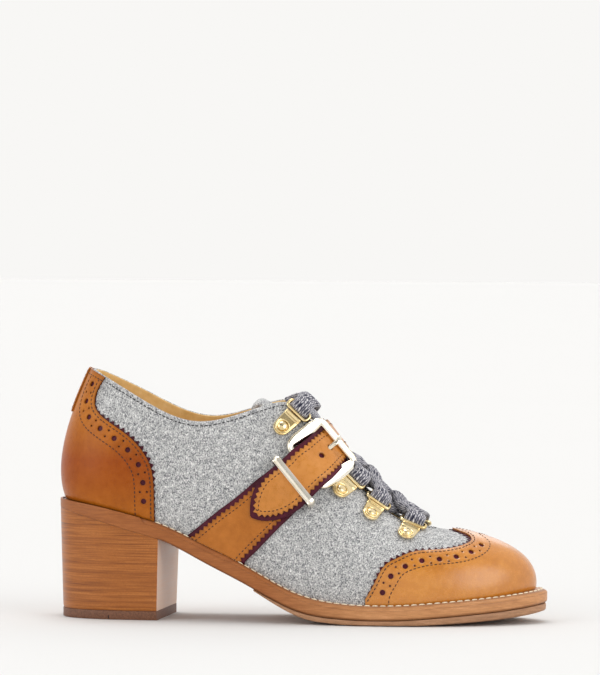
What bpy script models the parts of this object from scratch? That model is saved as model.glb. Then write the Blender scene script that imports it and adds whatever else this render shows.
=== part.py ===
"""A right-foot wing-tip shoe with a lace, a buckled instep strap and a stacked block heel.

Sizes are in millimetres, x runs from the back of the heel to the toe, minus y is the lateral side
and z is up from the floor. The last step moves the whole shoe so that the origin lies on the floor
under the middle of its box.
"""
import math

import bmesh
import bpy
import numpy as np

# General sizes
MM = 0.001
GAP = 0.3
WALL = 2.2

# Sole stack
WELT_INSET = 0.6
WELT_THICKNESS = 2.4
SEAT_INSET = 2.5
INSOLE_ABOVE_WELT = 1.0
HALF_SOLE_REAR_X = 101.0
HALF_SOLE_FULL_X = 126.0
HALF_SOLE_REAR_THICKNESS = 1.0
HALF_SOLE_THICKNESS = 3.0
HALF_SOLE_INSET = 0.5
HEEL_BREAST_X = 53.2
HEEL_BREAST_LEAN = 0.9
HEEL_BREAST_SKEW = 2.4
HEEL_TOP_INSET = 0.5
HEEL_BOTTOM_INSET = 1.7
LIFT_THICKNESS = 5.0

# Overlays on the upper
OVERLAY_GAP = 0.36
OVERLAY_THICKNESS = 1.2
TAB_THICKNESS = 1.0
TAB_HALF_WIDTH_STATIONS = 0.5
TAB_LOW = 0.66

# Tongue
TONGUE_THICKNESS = 2.0
TONGUE_CLEARANCE = 0.6
CREST_REACH = 0.33

# Strap and buckle
BASE_THICKNESS = 2.2
FOLD_THICKNESS = 1.2
FOLD_EDGES = (0.225, 0.885)
BILLET_THICKNESS = 2.4
KEEPER_PLACE = 4.05
KEEPER_SHIFT = 0.04
KEEPER_HALF_WIDTH = 2.0
KEEPER_METAL = 1.0
KEEPER_FLOOR = 0.8
BUCKLE_WIRE_RADIUS = 1.15
BUCKLE_SIDE = 14.0
BAR_SHIFT = 1.4
NOSE_SHIFT = 0.7
BUCKLE_CORNER = 3.2
# Widths of the frame in its own plane at the four points of each corner: bar, nose, nose, bar
BUCKLE_WIDTHS = (2.3, 2.6, 3.2, 3.8, 3.8, 3.8, 3.4, 3.0, 3.0, 3.4, 3.8, 3.8, 3.8, 3.2, 2.6, 2.3)
BAR_PLACE = 4.6
BAR_HEIGHT = 2.85
NOSE_PLACE = 6.15
NOSE_HEIGHT = 7.2
PRONG_WIDTH = 2.4
PRONG_METAL = 1.3
PRONG_SLOT = (5.44, 5.92)
PRONG_ROWS = ((4.85, 4.3), (5.1, 3.5), (5.3, 3.2), (5.45, 3.2), (5.6, 4.2), (5.72, 5.8), (5.84, 7.4), (5.95, 8.5),
              (6.1, 9.25), (6.22, 9.2))

# Lace hooks and lace
RIVET_TO_BAR = 8.6
RING_WIDTH = 12.6
RING_DEPTH = 4.6
RING_WIRE_RADIUS = 0.8
RING_HEIGHT = 1.7
PLATE_LIFT = 0.45
PLATE_THICKNESS = 1.0
PLATE_WIDTH = 8.6
PLATE_TOP_WIDTH = 9.6
RIVET_RADIUS = 2.2
RIVET_HEIGHT = 0.8
LACE_WIDTH = 9.2
LACE_THICKNESS = 2.4
LACE_LOOSE_THICKNESS = 4.2
LACE_ABOVE_TONGUE = 1.4
LACE_END_LENGTH = 2.5
# Ends of the lace at a ring: place past the ring's far side, height there and at the next point
LACE_ENDS = {"top": (-1.0, 5.0, 5.2), "over": (-1.5, 4.3, 4.3), "level": (1.9, 1.9, 1.5), "under": (1.6, -0.5, -0.6),
             "short": (1.6, -1.1, -1.3)}
# Rise of a crossing's two runs at a third, half and two thirds of the way over the throat
LACE_RISE_TIGHT = ((0.0, 0.4, 1.5), (1.5, 0.4, 0.0))
LACE_RISE_LOOSE = ((4.0, 6.0, 1.0), (0.6, 2.2, 3.2))
TOP_BAR_MIDDLE = (116.6, 0.0, 108.4)

# Sole outline from above: distance from the heel back, half widths on the two sides
SOLE_COLUMNS = ("x", "lateral", "medial")
SOLE_ROWS = (
    (0.0, 0.0, 0.0),
    (1.6, 10.0, 9.5),
    (7.0, 19.0, 18.0),
    (18.0, 25.6, 24.4),
    (33.0, 28.9, 27.3),
    (50.0, 29.9, 27.8),
    (67.0, 30.5, 26.6),
    (84.0, 31.9, 25.0),
    (101.0, 34.7, 24.5),
    (117.0, 38.0, 26.2),
    (132.0, 40.6, 30.0),
    (147.0, 42.6, 35.0),
    (162.0, 43.3, 39.2),
    (177.0, 42.6, 41.5),
    (191.0, 40.0, 41.2),
    (204.0, 35.7, 38.4),
    (216.0, 29.6, 33.8),
    (226.5, 22.8, 28.0),
    (235.0, 14.8, 20.8),
    (240.8, 6.0, 12.2),
    (243.0, -3.0, 3.0),
)

# Side view of the sole: heel seat, arch, ball and toe spring
HEIGHT_COLUMNS = ("x", "welt_top", "outsole_bottom")
HEIGHT_ROWS = (
    (-4.0, 59.4, 55.8),
    (20.0, 56.3, 49.6),
    (40.0, 51.8, 43.9),
    (55.0, 47.3, 39.4),
    (75.0, 38.2, 29.5),
    (95.0, 28.9, 19.7),
    (110.0, 20.9, 12.0),
    (125.0, 14.3, 5.9),
    (140.0, 11.1, 3.5),
    (158.0, 9.9, 2.7),
    (175.0, 10.2, 3.0),
    (195.0, 11.7, 4.5),
    (215.0, 13.4, 6.2),
    (232.0, 15.4, 8.1),
    (247.0, 18.0, 10.4),
)

# Sections of the upper, one row each from the back seam to the toe: where the section stands on the
# welt, where it ends at the collar or the throat, and how it leaves the welt and meets the top edge
UPPER_COLUMNS = ("foot_x", "foot_lateral", "foot_medial", "top_x", "top_side", "top_z",
                 "flare", "rise", "out", "drop")
UPPER_ROWS = (
    (4.2, 0.0, 0.0, 16.3, 0.0, 123.4, 7.5, 17.0, 10.0, 21.0),
    (5.8, 9.0, 8.6, 17.6, 6.6, 122.9, 7.2, 17.0, 8.5, 21.0),
    (11.0, 17.0, 16.2, 21.5, 12.2, 121.0, 6.6, 17.0, 6.0, 20.0),
    (21.0, 22.8, 21.6, 29.0, 17.2, 117.0, 6.0, 17.0, 4.0, 19.0),
    (36.0, 25.8, 24.0, 40.5, 21.4, 110.6, 5.0, 17.0, 3.0, 18.0),
    (52.0, 26.6, 24.2, 54.0, 24.2, 103.4, 4.0, 17.0, 3.0, 17.0),
    (67.0, 27.0, 23.0, 68.0, 25.2, 98.8, 3.0, 17.0, 3.5, 17.0),
    (80.0, 27.9, 21.8, 82.0, 24.2, 99.4, 2.5, 18.0, 6.0, 19.0),
    (91.0, 29.0, 21.0, 96.0, 20.8, 103.6, 2.5, 20.0, 9.0, 22.0),
    (101.0, 30.4, 20.8, 107.5, 16.6, 107.4, 2.5, 22.0, 12.0, 24.0),
    (110.0, 32.2, 21.6, 116.0, 13.4, 107.4, 2.5, 23.0, 14.0, 22.0),
    (121.0, 34.6, 23.6, 123.0, 12.6, 99.4, 2.5, 23.0, 14.5, 18.0),
    (134.0, 36.8, 27.0, 132.0, 12.6, 87.6, 2.5, 22.0, 15.0, 14.0),
    (149.0, 38.6, 31.6, 142.5, 12.4, 75.2, 2.5, 20.0, 15.5, 11.0),
    (165.0, 39.0, 35.6, 153.5, 11.8, 63.8, 2.5, 18.0, 16.0, 8.5),
    (182.0, 37.4, 37.2, 164.5, 10.8, 54.6, 2.5, 16.5, 16.5, 6.0),
    (199.0, 32.8, 35.2, 174.5, 8.8, 48.9, 3.0, 16.5, 18.0, 4.4),
    (214.0, 25.2, 29.4, 181.0, 5.8, 46.9, 3.0, 17.0, 22.0, 3.8),
    (226.0, 15.2, 20.6, 184.2, 2.9, 46.4, 3.5, 17.5, 25.5, 3.4),
    (233.5, 5.0, 11.2, 185.4, 1.0, 46.2, 3.5, 18.0, 28.0, 3.2),
    (235.8, -3.0, 3.0, 185.7, 0.0, 46.2, 3.5, 18.0, 28.5, 3.2),
)
TOE = len(UPPER_ROWS) - 1

# Wing-shaped edge of the toe cap: station of the upper, share of the way up it
CAP_EDGE_COLUMNS = ("station", "share")
CAP_EDGE_ROWS = (
    (13.5, 0.05),
    (13.8, 0.17),
    (14.1, 0.29),
    (14.6, 0.39),
    (15.2, 0.475),
    (16.0, 0.525),
    (16.6, 0.545),
    (17.4, 0.59),
    (18.1, 0.65),
    (18.6, 0.715),
    (19.1, 0.79),
    (19.6, 0.855),
    (20.0, 0.88),
)

# Edge of the heel counter: share of the way up, station that it reaches on each side
COUNTER_EDGE_COLUMNS = ("share", "station")
COUNTER_EDGE_ROWS = (
    (0.0, 4.94),
    (0.2, 4.92),
    (0.38, 4.86),
    (0.48, 4.74),
    (0.56, 4.5),
    (0.62, 4.15),
    (0.66, 3.65),
    (0.69, 3.0),
    (0.72, 2.55),
    (0.76, 2.26),
    (0.82, 2.13),
    (0.9, 2.2),
    (1.0, 2.48),
)

# The tongue's tip, bent back over the collar: the middle of each row, its half width and its arch
TONGUE_TIP_COLUMNS = ("x", "z", "half_width", "arch")
TONGUE_TIP_ROWS = (
    (113.5, 104.6, 11.0, 2.6),
    (105.5, 107.0, 10.5, 2.6),
    (100.2, 109.2, 9.5, 2.2),
    (95.8, 105.6, 7.5, 1.8),
)

# Strap band from the sole to the throat edge: its rear and front edges on the upper
BAND_COLUMNS = ("rear_station", "rear_share", "front_station", "front_share")
BAND_ROWS = (
    (6.02, 0.0, 8.5, 0.0),
    (6.8, 0.26, 8.7, 0.055),
    (7.67, 0.435, 9.6, 0.225),
    (8.52, 0.565, 10.68, 0.395),
    (9.3, 0.64, 11.44, 0.53),
    (10.7, 0.81, 12.42, 0.765),
    (11.53, 1.0, 12.98, 1.0),
)
BAND_END = len(BAND_ROWS) - 1
BRIDGE_PLACES = 2.0

# How high the straps' undersides lie over the upper along the band
BASE_LIFT_ROWS = ((0.0, 0.3), (3.3, 0.3), (3.9, 1.4), (4.2, 1.4), (4.36, 2.0))
BILLET_LIFT_ROWS = ((2.0, 2.8), (3.2, 2.8), (3.85, 3.95), (4.25, 4.1), (4.6, 5.8), (5.3, 4.6), (5.8, 3.2),
                    (6.0, 3.2))
CREST_LIFT = 3.2
MEDIAL_LIFT_ROWS = ((0.0, 0.3), (3.5, 0.3), (4.5, 0.6), (6.0, 3.2))

# Half width and middle of the long strap as shares of the band, from its tip to the throat edge
BILLET_HALF_ROWS = ((2.0, 0.06), (2.15, 0.16), (2.32, 0.26), (2.56, 0.357), (2.84, 0.42), (3.2, 0.46),
                    (4.05, 0.46), (4.6, 0.44), (6.0, 0.42))
BILLET_MIDDLE_ROWS = ((2.0, 0.51), (2.32, 0.525), (2.84, 0.54), (3.75, 0.56), (4.3, 0.585), (4.9, 0.585),
                      (6.0, 0.505))

# Lace hooks from the collar down: rivet and ring bar on the upper
HOOK_COLUMNS = ("rivet_station", "rivet_share", "bar_station", "bar_share")
HOOK_ROWS = (
    (9.53, 0.835, 10.3, 0.925),
    (12.9, 0.755, 13.36, 0.93),
    (14.13, 0.745, 14.5, 0.94),
    (15.4, 0.69, 16.0, 0.89),
)

# Colours as linear red, green, blue, then roughness and metallic value
FINISHES = {
    "felt": ((0.34, 0.34, 0.35), 0.95, 0.0),
    "tan_leather": ((0.5, 0.2, 0.05), 0.4, 0.0),
    "sole_leather": ((0.42, 0.2, 0.09), 0.5, 0.0),
    "heel_stack": ((0.33, 0.14, 0.06), 0.45, 0.0),
    "lift_rubber": ((0.14, 0.07, 0.04), 0.6, 0.0),
    "lining_leather": ((0.62, 0.4, 0.17), 0.55, 0.0),
    "gold_metal": ((0.83, 0.62, 0.28), 0.2, 1.0),
    "lace_yarn": ((0.2, 0.2, 0.23), 0.95, 0.0),
}


def column(rows, columns, name):
    """One named column of a table."""
    return np.array([row[columns.index(name)] for row in rows])


def closed_spline(values):
    """A smooth closed curve through values at whole numbers, as a function."""
    values = np.asarray(values, float)
    count = len(values)
    matrix = 4.0 * np.eye(count) + np.roll(np.eye(count), 1, 0) + np.roll(np.eye(count), -1, 0)
    bend = np.linalg.solve(matrix, 6.0 * (np.roll(values, 1) - 2.0 * values + np.roll(values, -1)))

    def curve(u):
        u = np.mod(np.asarray(u, float), count)
        low = np.floor(u).astype(int) % count
        high = (low + 1) % count
        b = u - np.floor(u)
        a = 1.0 - b
        return (a * values[low] + b * values[high]
                + ((a**3 - a) * bend[low] + (b**3 - b) * bend[high]) / 6.0)
    return curve


def open_spline(xs, ys):
    """A smooth curve through points as a function of x."""
    xs = np.asarray(xs, float)
    ys = np.asarray(ys, float)
    count = len(xs)
    step = np.diff(xs)
    matrix = np.eye(count)
    right = np.zeros(count)
    for k in range(1, count - 1):
        matrix[k, k - 1:k + 2] = step[k - 1], 2.0 * (step[k - 1] + step[k]), step[k]
        right[k] = 6.0 * ((ys[k + 1] - ys[k]) / step[k] - (ys[k] - ys[k - 1]) / step[k - 1])
    bend = np.linalg.solve(matrix, right)

    def curve(x):
        x = np.asarray(x, float)
        k = np.clip(np.searchsorted(xs, x) - 1, 0, count - 2)
        h = step[k]
        b = (x - xs[k]) / h
        a = 1.0 - b
        return a * ys[k] + b * ys[k + 1] + ((a**3 - a) * bend[k] + (b**3 - b) * bend[k + 1]) * h * h / 6.0
    return curve


def table_curve(rows):
    """Straight lines through a two-column table, as a function."""
    xs = [row[0] for row in rows]
    ys = [row[1] for row in rows]
    return lambda x: np.interp(x, xs, ys)


def around(values, back):
    """Station values down the lateral side and back along the medial side, as a closed spline."""
    return closed_spline(np.concatenate([values, back[-2:0:-1]]))


def sole_column(name):
    return column(SOLE_ROWS, SOLE_COLUMNS, name)


def height_column(name):
    return column(HEIGHT_ROWS, HEIGHT_COLUMNS, name)


def upper_column(name):
    return column(UPPER_ROWS, UPPER_COLUMNS, name)


def even(name):
    """A column of the upper that is the same on both sides."""
    return around(upper_column(name), upper_column(name))


sole_x = around(sole_column("x"), sole_column("x"))
sole_y = around(-sole_column("lateral"), sole_column("medial"))
welt_top = open_spline(height_column("x"), height_column("welt_top"))
outsole_bottom = open_spline(height_column("x"), height_column("outsole_bottom"))
foot_x = even("foot_x")
foot_y = around(-upper_column("foot_lateral"), upper_column("foot_medial"))
top_x = even("top_x")
top_y = around(-upper_column("top_side"), upper_column("top_side"))
top_z = even("top_z")
flare = even("flare")
rise = even("rise")
out = even("out")
drop = even("drop")
band_edges = {name: open_spline(range(len(BAND_ROWS)), column(BAND_ROWS, BAND_COLUMNS, name))
              for name in BAND_COLUMNS}


def plan_normal(curve_x, curve_y, u, step=0.05):
    """Unit vector in plan that points out of a loop."""
    dx = curve_x(u + step) - curve_x(u - step)
    dy = curve_y(u + step) - curve_y(u - step)
    size = np.hypot(dx, dy)
    return dy / size, -dx / size


def upper_point(u, t):
    """The upper's outer face: u in stations, minus on the medial side, t from the welt to the top edge."""
    u, t = np.broadcast_arrays(np.asarray(u, float), np.asarray(t, float))
    foot = np.stack([foot_x(u), foot_y(u), welt_top(foot_x(u)) + GAP], -1)
    top = np.stack([top_x(u), top_y(u), top_z(u)], -1)
    nx, ny = plan_normal(foot_x, foot_y, u)
    low = foot + np.stack([flare(u) * nx, flare(u) * ny, rise(u)], -1)
    nx, ny = plan_normal(top_x, top_y, u)
    high = top + np.stack([out(u) * nx, out(u) * ny, -drop(u)], -1)
    t = t[..., None]
    r = 1.0 - t
    return r**3 * foot + 3.0 * r * r * t * low + 3.0 * r * t * t * high + t**3 * top


def unit(vector):
    return vector / np.linalg.norm(vector, axis=-1, keepdims=True)


def upper_normal(u, t, step=0.01):
    """Unit vector out of the upper's outer face."""
    u, t = np.broadcast_arrays(np.asarray(u, float), np.asarray(t, float))
    along = upper_point(u + step, t) - upper_point(u - step, t)
    up = upper_point(u, np.minimum(t + step, 1.0)) - upper_point(u, np.maximum(t - step, 0.0))
    return unit(np.cross(along, up))


def on_upper(u, t, lift):
    """A point at a height over the upper's outer face, no lower than the upper's own foot."""
    u, t = np.broadcast_arrays(np.asarray(u, float), np.asarray(t, float))
    point = upper_point(u, t) + np.asarray(lift, float)[..., None] * upper_normal(u, t)
    point[..., 2] = np.where(t <= 0.0, welt_top(point[..., 0]) + GAP, point[..., 2])
    return point


def crest_point(u, v, lift):
    """A point on the bridge over the throat, from the lateral edge (v = 0) to the medial one (v = 1)."""
    u, v = np.broadcast_arrays(np.asarray(u, float), np.asarray(v, float))
    one = np.ones_like(u)
    lateral = on_upper(u, one, lift * one)
    medial = on_upper(-u, one, lift * one)
    reach = CREST_REACH * np.linalg.norm(medial - lateral, axis=-1, keepdims=True)
    lateral_in = lateral + reach * unit(upper_point(u, one) - upper_point(u, one - 0.02))
    medial_in = medial + reach * unit(upper_point(-u, one) - upper_point(-u, one - 0.02))
    v = v[..., None]
    r = 1.0 - v
    return r**3 * lateral + 3.0 * r * r * v * lateral_in + 3.0 * r * v * v * medial_in + v**3 * medial


def band_place(a, c):
    """Station and share at a place along the strap band, c = 0 at its rear edge and 1 at its front."""
    u = (1.0 - c) * band_edges["rear_station"](a) + c * band_edges["front_station"](a)
    t = (1.0 - c) * band_edges["rear_share"](a) + c * band_edges["front_share"](a)
    return u, np.clip(t, 0.0, 1.0)


def on_band(a, c, lift, side=1.0):
    """A point over the strap band, side = 1 on the lateral side and -1 on the medial one.

    Places past the throat edge of the lateral side lie on the bridge over the throat.
    """
    a, c = np.broadcast_arrays(np.asarray(a, float), np.asarray(c, float))
    u, t = band_place(np.minimum(a, BAND_END), c)
    over = crest_point(u, np.maximum(a - BAND_END, 0.0) / BRIDGE_PLACES, lift)
    return np.where((a > BAND_END)[..., None], over, on_upper(side * u, t, lift))


def sole_point(u, inset, height):
    """A point of the sole's outline, moved in by an inset, at a height given as a function of x."""
    nx, ny = plan_normal(sole_x, sole_y, u)
    x = sole_x(u) - inset * nx
    y = sole_y(u) - inset * ny
    return np.stack([x, y, height(x) * np.ones_like(x)], -1)


def material(name):
    """A named finish as a Principled material."""
    found = bpy.data.materials.get(name)
    if found:
        return found
    colour, roughness, metallic = FINISHES[name]
    made = bpy.data.materials.new(name)
    made.use_nodes = True
    shader = made.node_tree.nodes["Principled BSDF"]
    shader.inputs["Base Color"].default_value = (*colour, 1.0)
    shader.inputs["Roughness"].default_value = roughness
    shader.inputs["Metallic"].default_value = metallic
    return made


def make_object(name, points, faces, finish):
    """An object from points in millimetres and faces, with its faces turned out."""
    mesh = bpy.data.meshes.new(name)
    mesh.from_pydata([tuple(point * MM) for point in np.asarray(points, float)], [], faces)
    shape = bmesh.new()
    shape.from_mesh(mesh)
    bmesh.ops.delete(shape, geom=[v for v in shape.verts if not v.link_faces], context="VERTS")
    bmesh.ops.recalc_face_normals(shape, faces=shape.faces)
    shape.to_mesh(mesh)
    shape.free()
    mesh.shade_smooth()
    mesh.set_sharp_from_angle(angle=math.radians(40.0))
    made = bpy.data.objects.new(name, mesh)
    made.data.materials.append(material(finish))
    bpy.context.scene.collection.objects.link(made)
    return made


def sheet(name, low, high, finish, closed=False, left_out=()):
    """A closed solid between two grids of points, less some cells; a closed one runs round its rows."""
    rows, columns = low.shape[:2]
    row_cells = rows if closed else rows - 1
    kept = {(i, j) for i in range(row_cells) for j in range(columns - 1)} - set(left_out)

    def corner(i, j, side):
        return ((i % rows) * columns + j) * 2 + side

    faces = []
    for i, j in sorted(kept):
        loop = ((i, j), (i + 1, j), (i + 1, j + 1), (i, j + 1))
        faces.append([corner(p, q, 1) for p, q in loop])
        faces.append([corner(p, q, 0) for p, q in reversed(loop)])
        neighbours = ((i, j - 1), (i + 1, j), (i, j + 1), (i - 1, j))
        for side, (p, q) in enumerate(neighbours):
            beside = (p % rows, q) if closed else (p, q)
            if beside not in kept:
                start = loop[side]
                end = loop[(side + 1) % 4]
                faces.append([corner(*start, 0), corner(*end, 0), corner(*end, 1), corner(*start, 1)])
    points = np.stack([low, high], 2).reshape(-1, 3)
    return make_object(name, points, faces, finish)


def sweep(name, path, ups, section, finish, closed=False, widths=1.0, heights=1.0):
    """A solid with a section of (across, up) points carried along a path, scaled at each of its points."""
    path = np.asarray(path, float)
    ups = np.broadcast_to(np.asarray(ups, float), path.shape)
    section = np.asarray(section, float)
    if closed:
        tangent = np.roll(path, -1, 0) - np.roll(path, 1, 0)
    else:
        tangent = np.gradient(path, axis=0)
    tangent = unit(tangent)
    across = unit(np.cross(tangent, ups))
    up = np.cross(across, tangent)
    wide = np.outer(widths * np.ones(len(path)), section[:, 0])[..., None]
    high = np.outer(heights * np.ones(len(path)), section[:, 1])[..., None]
    rings = path[:, None] + wide * across[:, None] + high * up[:, None]
    count, sides = rings.shape[:2]
    faces = []
    for i in range(count if closed else count - 1):
        for j in range(sides):
            k = (j + 1) % sides
            n = (i + 1) % count
            faces.append([i * sides + j, i * sides + k, n * sides + k, n * sides + j])
    if not closed:
        faces.append(list(range(sides)))
        faces.append([(count - 1) * sides + j for j in range(sides)])
    return make_object(name, rings.reshape(-1, 3), faces, finish)


def oval(width, height, sides):
    """Points of an oval section."""
    turn = np.arange(sides) * 2.0 * math.pi / sides + math.pi / sides
    return np.stack([0.5 * width * np.cos(turn), 0.5 * height * np.sin(turn)], -1)


def smooth_path(points, count):
    """Points along a smooth curve through a few given ones."""
    points = np.asarray(points, float)
    length = np.concatenate([[0.0], np.cumsum(np.linalg.norm(np.diff(points, axis=0), axis=1))])
    at = np.linspace(0.0, length[-1], count)
    return np.stack([open_spline(length, points[:, k])(at) for k in range(3)], -1)


def join(target, *others):
    """Unites solids that overlap into the first one."""
    for other in others:
        union = target.modifiers.new("union", "BOOLEAN")
        union.operation = "UNION"
        union.solver = "EXACT"
        union.object = other
        other.hide_render = True
        other.display_type = "WIRE"
    return target


def slab(name, stations, bottom, top, finish):
    """A layer of the sole between two outlines, each given as (inset, height) functions of the station."""
    low = np.stack([sole_point(stations, *bottom), sole_point(-stations, *bottom)], 1)
    high = np.stack([sole_point(stations, *top), sole_point(-stations, *top)], 1)
    return sheet(name, low, high, finish)


def station_at(x):
    """The sole station at a distance from the heel back."""
    fine = np.linspace(0.0, TOE, 4001)
    return float(np.interp(x, sole_x(fine), fine))


def sole_stations(first, last):
    """Stations along the sole, half a row apart, without the single points at heel and toe."""
    inner = np.arange(math.floor(first * 2.0) / 2.0 + 0.5, last - 0.2, 0.5)
    return np.concatenate([[first], inner[inner > first + 0.2], [last]])


BACK_STATION = 0.12
TOE_STATION = TOE - 0.12


def length_share(curve_x, curve_y, side):
    """How far along one side of a loop each of many stations lies, from heel to toe, from 0 to 1."""
    fine = np.linspace(0.0, TOE, 2001)
    steps = np.hypot(np.diff(curve_x(side * fine)), np.diff(curve_y(side * fine)))
    share = np.concatenate([[0.0], np.cumsum(steps)])
    return fine, share / share[-1]


def seat_point(stations, side, inset, height):
    """Points inside the upper's foot that match stations of the sole on one side."""
    sole_fine, sole_share = length_share(sole_x, sole_y, side)
    foot_fine, foot_share = length_share(foot_x, foot_y, side)
    u = side * np.interp(np.interp(stations, sole_fine, sole_share), foot_share, foot_fine)
    nx, ny = plan_normal(foot_x, foot_y, u)
    x = foot_x(u) - inset * nx
    y = foot_y(u) - inset * ny
    return np.stack([x, y, height(x)], -1)


def make_sole():
    """Outsole, half sole, welt, insole, heel block and top lift."""
    def outsole_top(x):
        return welt_top(x) - WELT_THICKNESS - GAP

    def half_sole_bottom(x):
        depth = np.interp(x, [HALF_SOLE_REAR_X, HALF_SOLE_FULL_X], [HALF_SOLE_REAR_THICKNESS, HALF_SOLE_THICKNESS])
        return np.maximum(outsole_bottom(x) - depth, 0.0)

    full = sole_stations(BACK_STATION, TOE_STATION)
    slab("outsole", full, (0.0, outsole_bottom), (0.0, outsole_top), "sole_leather")
    fore = sole_stations(station_at(HALF_SOLE_REAR_X), TOE_STATION)
    slab("half_sole", fore, (HALF_SOLE_INSET + 0.4, half_sole_bottom),
         (HALF_SOLE_INSET, lambda x: outsole_bottom(x) - GAP), "sole_leather")

    def ring(height):
        outer = np.concatenate([sole_point(full, WELT_INSET, height), sole_point(-full[::-1], WELT_INSET, height)])
        inner = np.concatenate([seat_point(full, 1.0, SEAT_INSET, height),
                                seat_point(full, -1.0, SEAT_INSET, height)[::-1]])
        return np.stack([outer, inner], 1)

    def seat(height):
        return np.stack([seat_point(full, 1.0, SEAT_INSET + GAP, height),
                         seat_point(full, -1.0, SEAT_INSET + GAP, height)], 1)

    sheet("welt", ring(lambda x: welt_top(x) - WELT_THICKNESS), ring(welt_top), "sole_leather", closed=True)
    sheet("insole", seat(lambda x: outsole_top(x) + GAP), seat(lambda x: welt_top(x) + INSOLE_ABOVE_WELT),
          "lining_leather")

    back = sole_stations(BACK_STATION, station_at(HEEL_BREAST_X))
    near_breast = (sole_x(back) / HEEL_BREAST_X) ** 4

    def heel_outline(inset, height, share):
        """One level of the heel, drawn back at the breast by its lean and forward on the medial side."""
        sides = []
        for sign, skew in ((1.0, 0.0), (-1.0, HEEL_BREAST_SKEW)):
            points = sole_point(sign * back, inset, lambda x: 0.0)
            points[:, 0] += (skew - share * HEEL_BREAST_LEAN) * near_breast
            points[:, 2] = height(points[:, 0])
            sides.append(points)
        return np.stack(sides, 1)

    block_floor = LIFT_THICKNESS + GAP
    sheet("heel_block", heel_outline(HEEL_BOTTOM_INSET, lambda x: block_floor + 0.0 * x, 0.9),
          heel_outline(HEEL_TOP_INSET, lambda x: outsole_bottom(x) - GAP, 0.0), "heel_stack")
    sheet("top_lift", heel_outline(HEEL_BOTTOM_INSET + 0.1, lambda x: 0.0 * x, 1.0),
          heel_outline(HEEL_BOTTOM_INSET, lambda x: LIFT_THICKNESS + 0.0 * x, 0.9), "lift_rubber")


def upper_stations():
    """Stations around the upper, closer together where heel and toe turn and over the bend of the sole."""
    heel = np.arange(0.0, 3.5, 0.5)
    waist = np.array([3.5, 4.5, 5.0, 5.5, 6.5, 7.5])
    bend = np.arange(8.5, 12.5, 0.5)
    ball = np.arange(12.5, 14.5, 1.0)
    toe = np.arange(14.5, TOE + 0.1, 0.5)
    lateral = np.concatenate([heel, waist, bend, ball, toe])
    return np.concatenate([lateral, -lateral[-2:0:-1]])


def inner_face(u, t):
    """The upper's inner face, level with the outer one at the welt."""
    point = upper_point(u, t) - WALL * upper_normal(u, t)
    nx, ny = plan_normal(foot_x, foot_y, u)
    foot = upper_point(u, 0.0 * t)
    foot[..., 0] -= WALL * nx
    foot[..., 1] -= WALL * ny
    foot[..., 2] = welt_top(foot[..., 0]) + GAP
    blend = np.clip(1.0 - t / 0.12, 0.0, 1.0)[..., None]
    return blend * foot + (1.0 - blend) * point


def make_upper():
    """The felt body: one wall, open underneath, at the collar and down the throat."""
    u, t = np.meshgrid(upper_stations(), np.linspace(0.0, 1.0, 13), indexing="ij")
    sheet("upper", inner_face(u, t), upper_point(u, t), "felt", closed=True)


def overlay(name, u, t, lift, thickness, finish):
    """A layer that lies on the upper between two heights over it."""
    shape = np.ones_like(u)
    return sheet(name, on_upper(u, t, lift * shape), on_upper(u, t, (lift + thickness) * shape), finish)


def make_overlays():
    """Toe cap, heel counter and heel tab."""
    edge = open_spline(column(CAP_EDGE_ROWS, CAP_EDGE_COLUMNS, "station"),
                       column(CAP_EDGE_ROWS, CAP_EDGE_COLUMNS, "share"))
    first = CAP_EDGE_ROWS[0][0]
    half = np.concatenate([[first, 13.75], np.arange(14.0, TOE + 0.1, 0.5)])
    stations = np.concatenate([half, 2.0 * TOE - half[-2::-1]])
    share = edge(np.minimum(stations, 2.0 * TOE - stations))
    u = np.repeat(stations[:, None], 9, 1)
    t = share[:, None] * np.linspace(0.0, 1.0, 9)[None]
    overlay("toe_cap", u, t, OVERLAY_GAP, OVERLAY_THICKNESS, "tan_leather")

    rows = np.array([0.0, 0.1, 0.2, 0.3, 0.4, 0.48, 0.56, 0.61, 0.65, 0.68, 0.71, 0.76, 0.83, 0.91, 1.0])
    reach = open_spline(column(COUNTER_EDGE_ROWS, COUNTER_EDGE_COLUMNS, "share"),
                        column(COUNTER_EDGE_ROWS, COUNTER_EDGE_COLUMNS, "station"))(rows)
    u = reach[:, None] * np.linspace(-1.0, 1.0, 17)[None]
    t = np.repeat(rows[:, None], 17, 1)
    overlay("heel_counter", u, t, OVERLAY_GAP, OVERLAY_THICKNESS, "tan_leather")

    u, t = np.meshgrid(np.linspace(-TAB_HALF_WIDTH_STATIONS, TAB_HALF_WIDTH_STATIONS, 5),
                       np.linspace(TAB_LOW, 1.0, 7), indexing="ij")
    overlay("heel_tab", u, t, 2.0 * OVERLAY_GAP + OVERLAY_THICKNESS, TAB_THICKNESS, "tan_leather")


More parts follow.
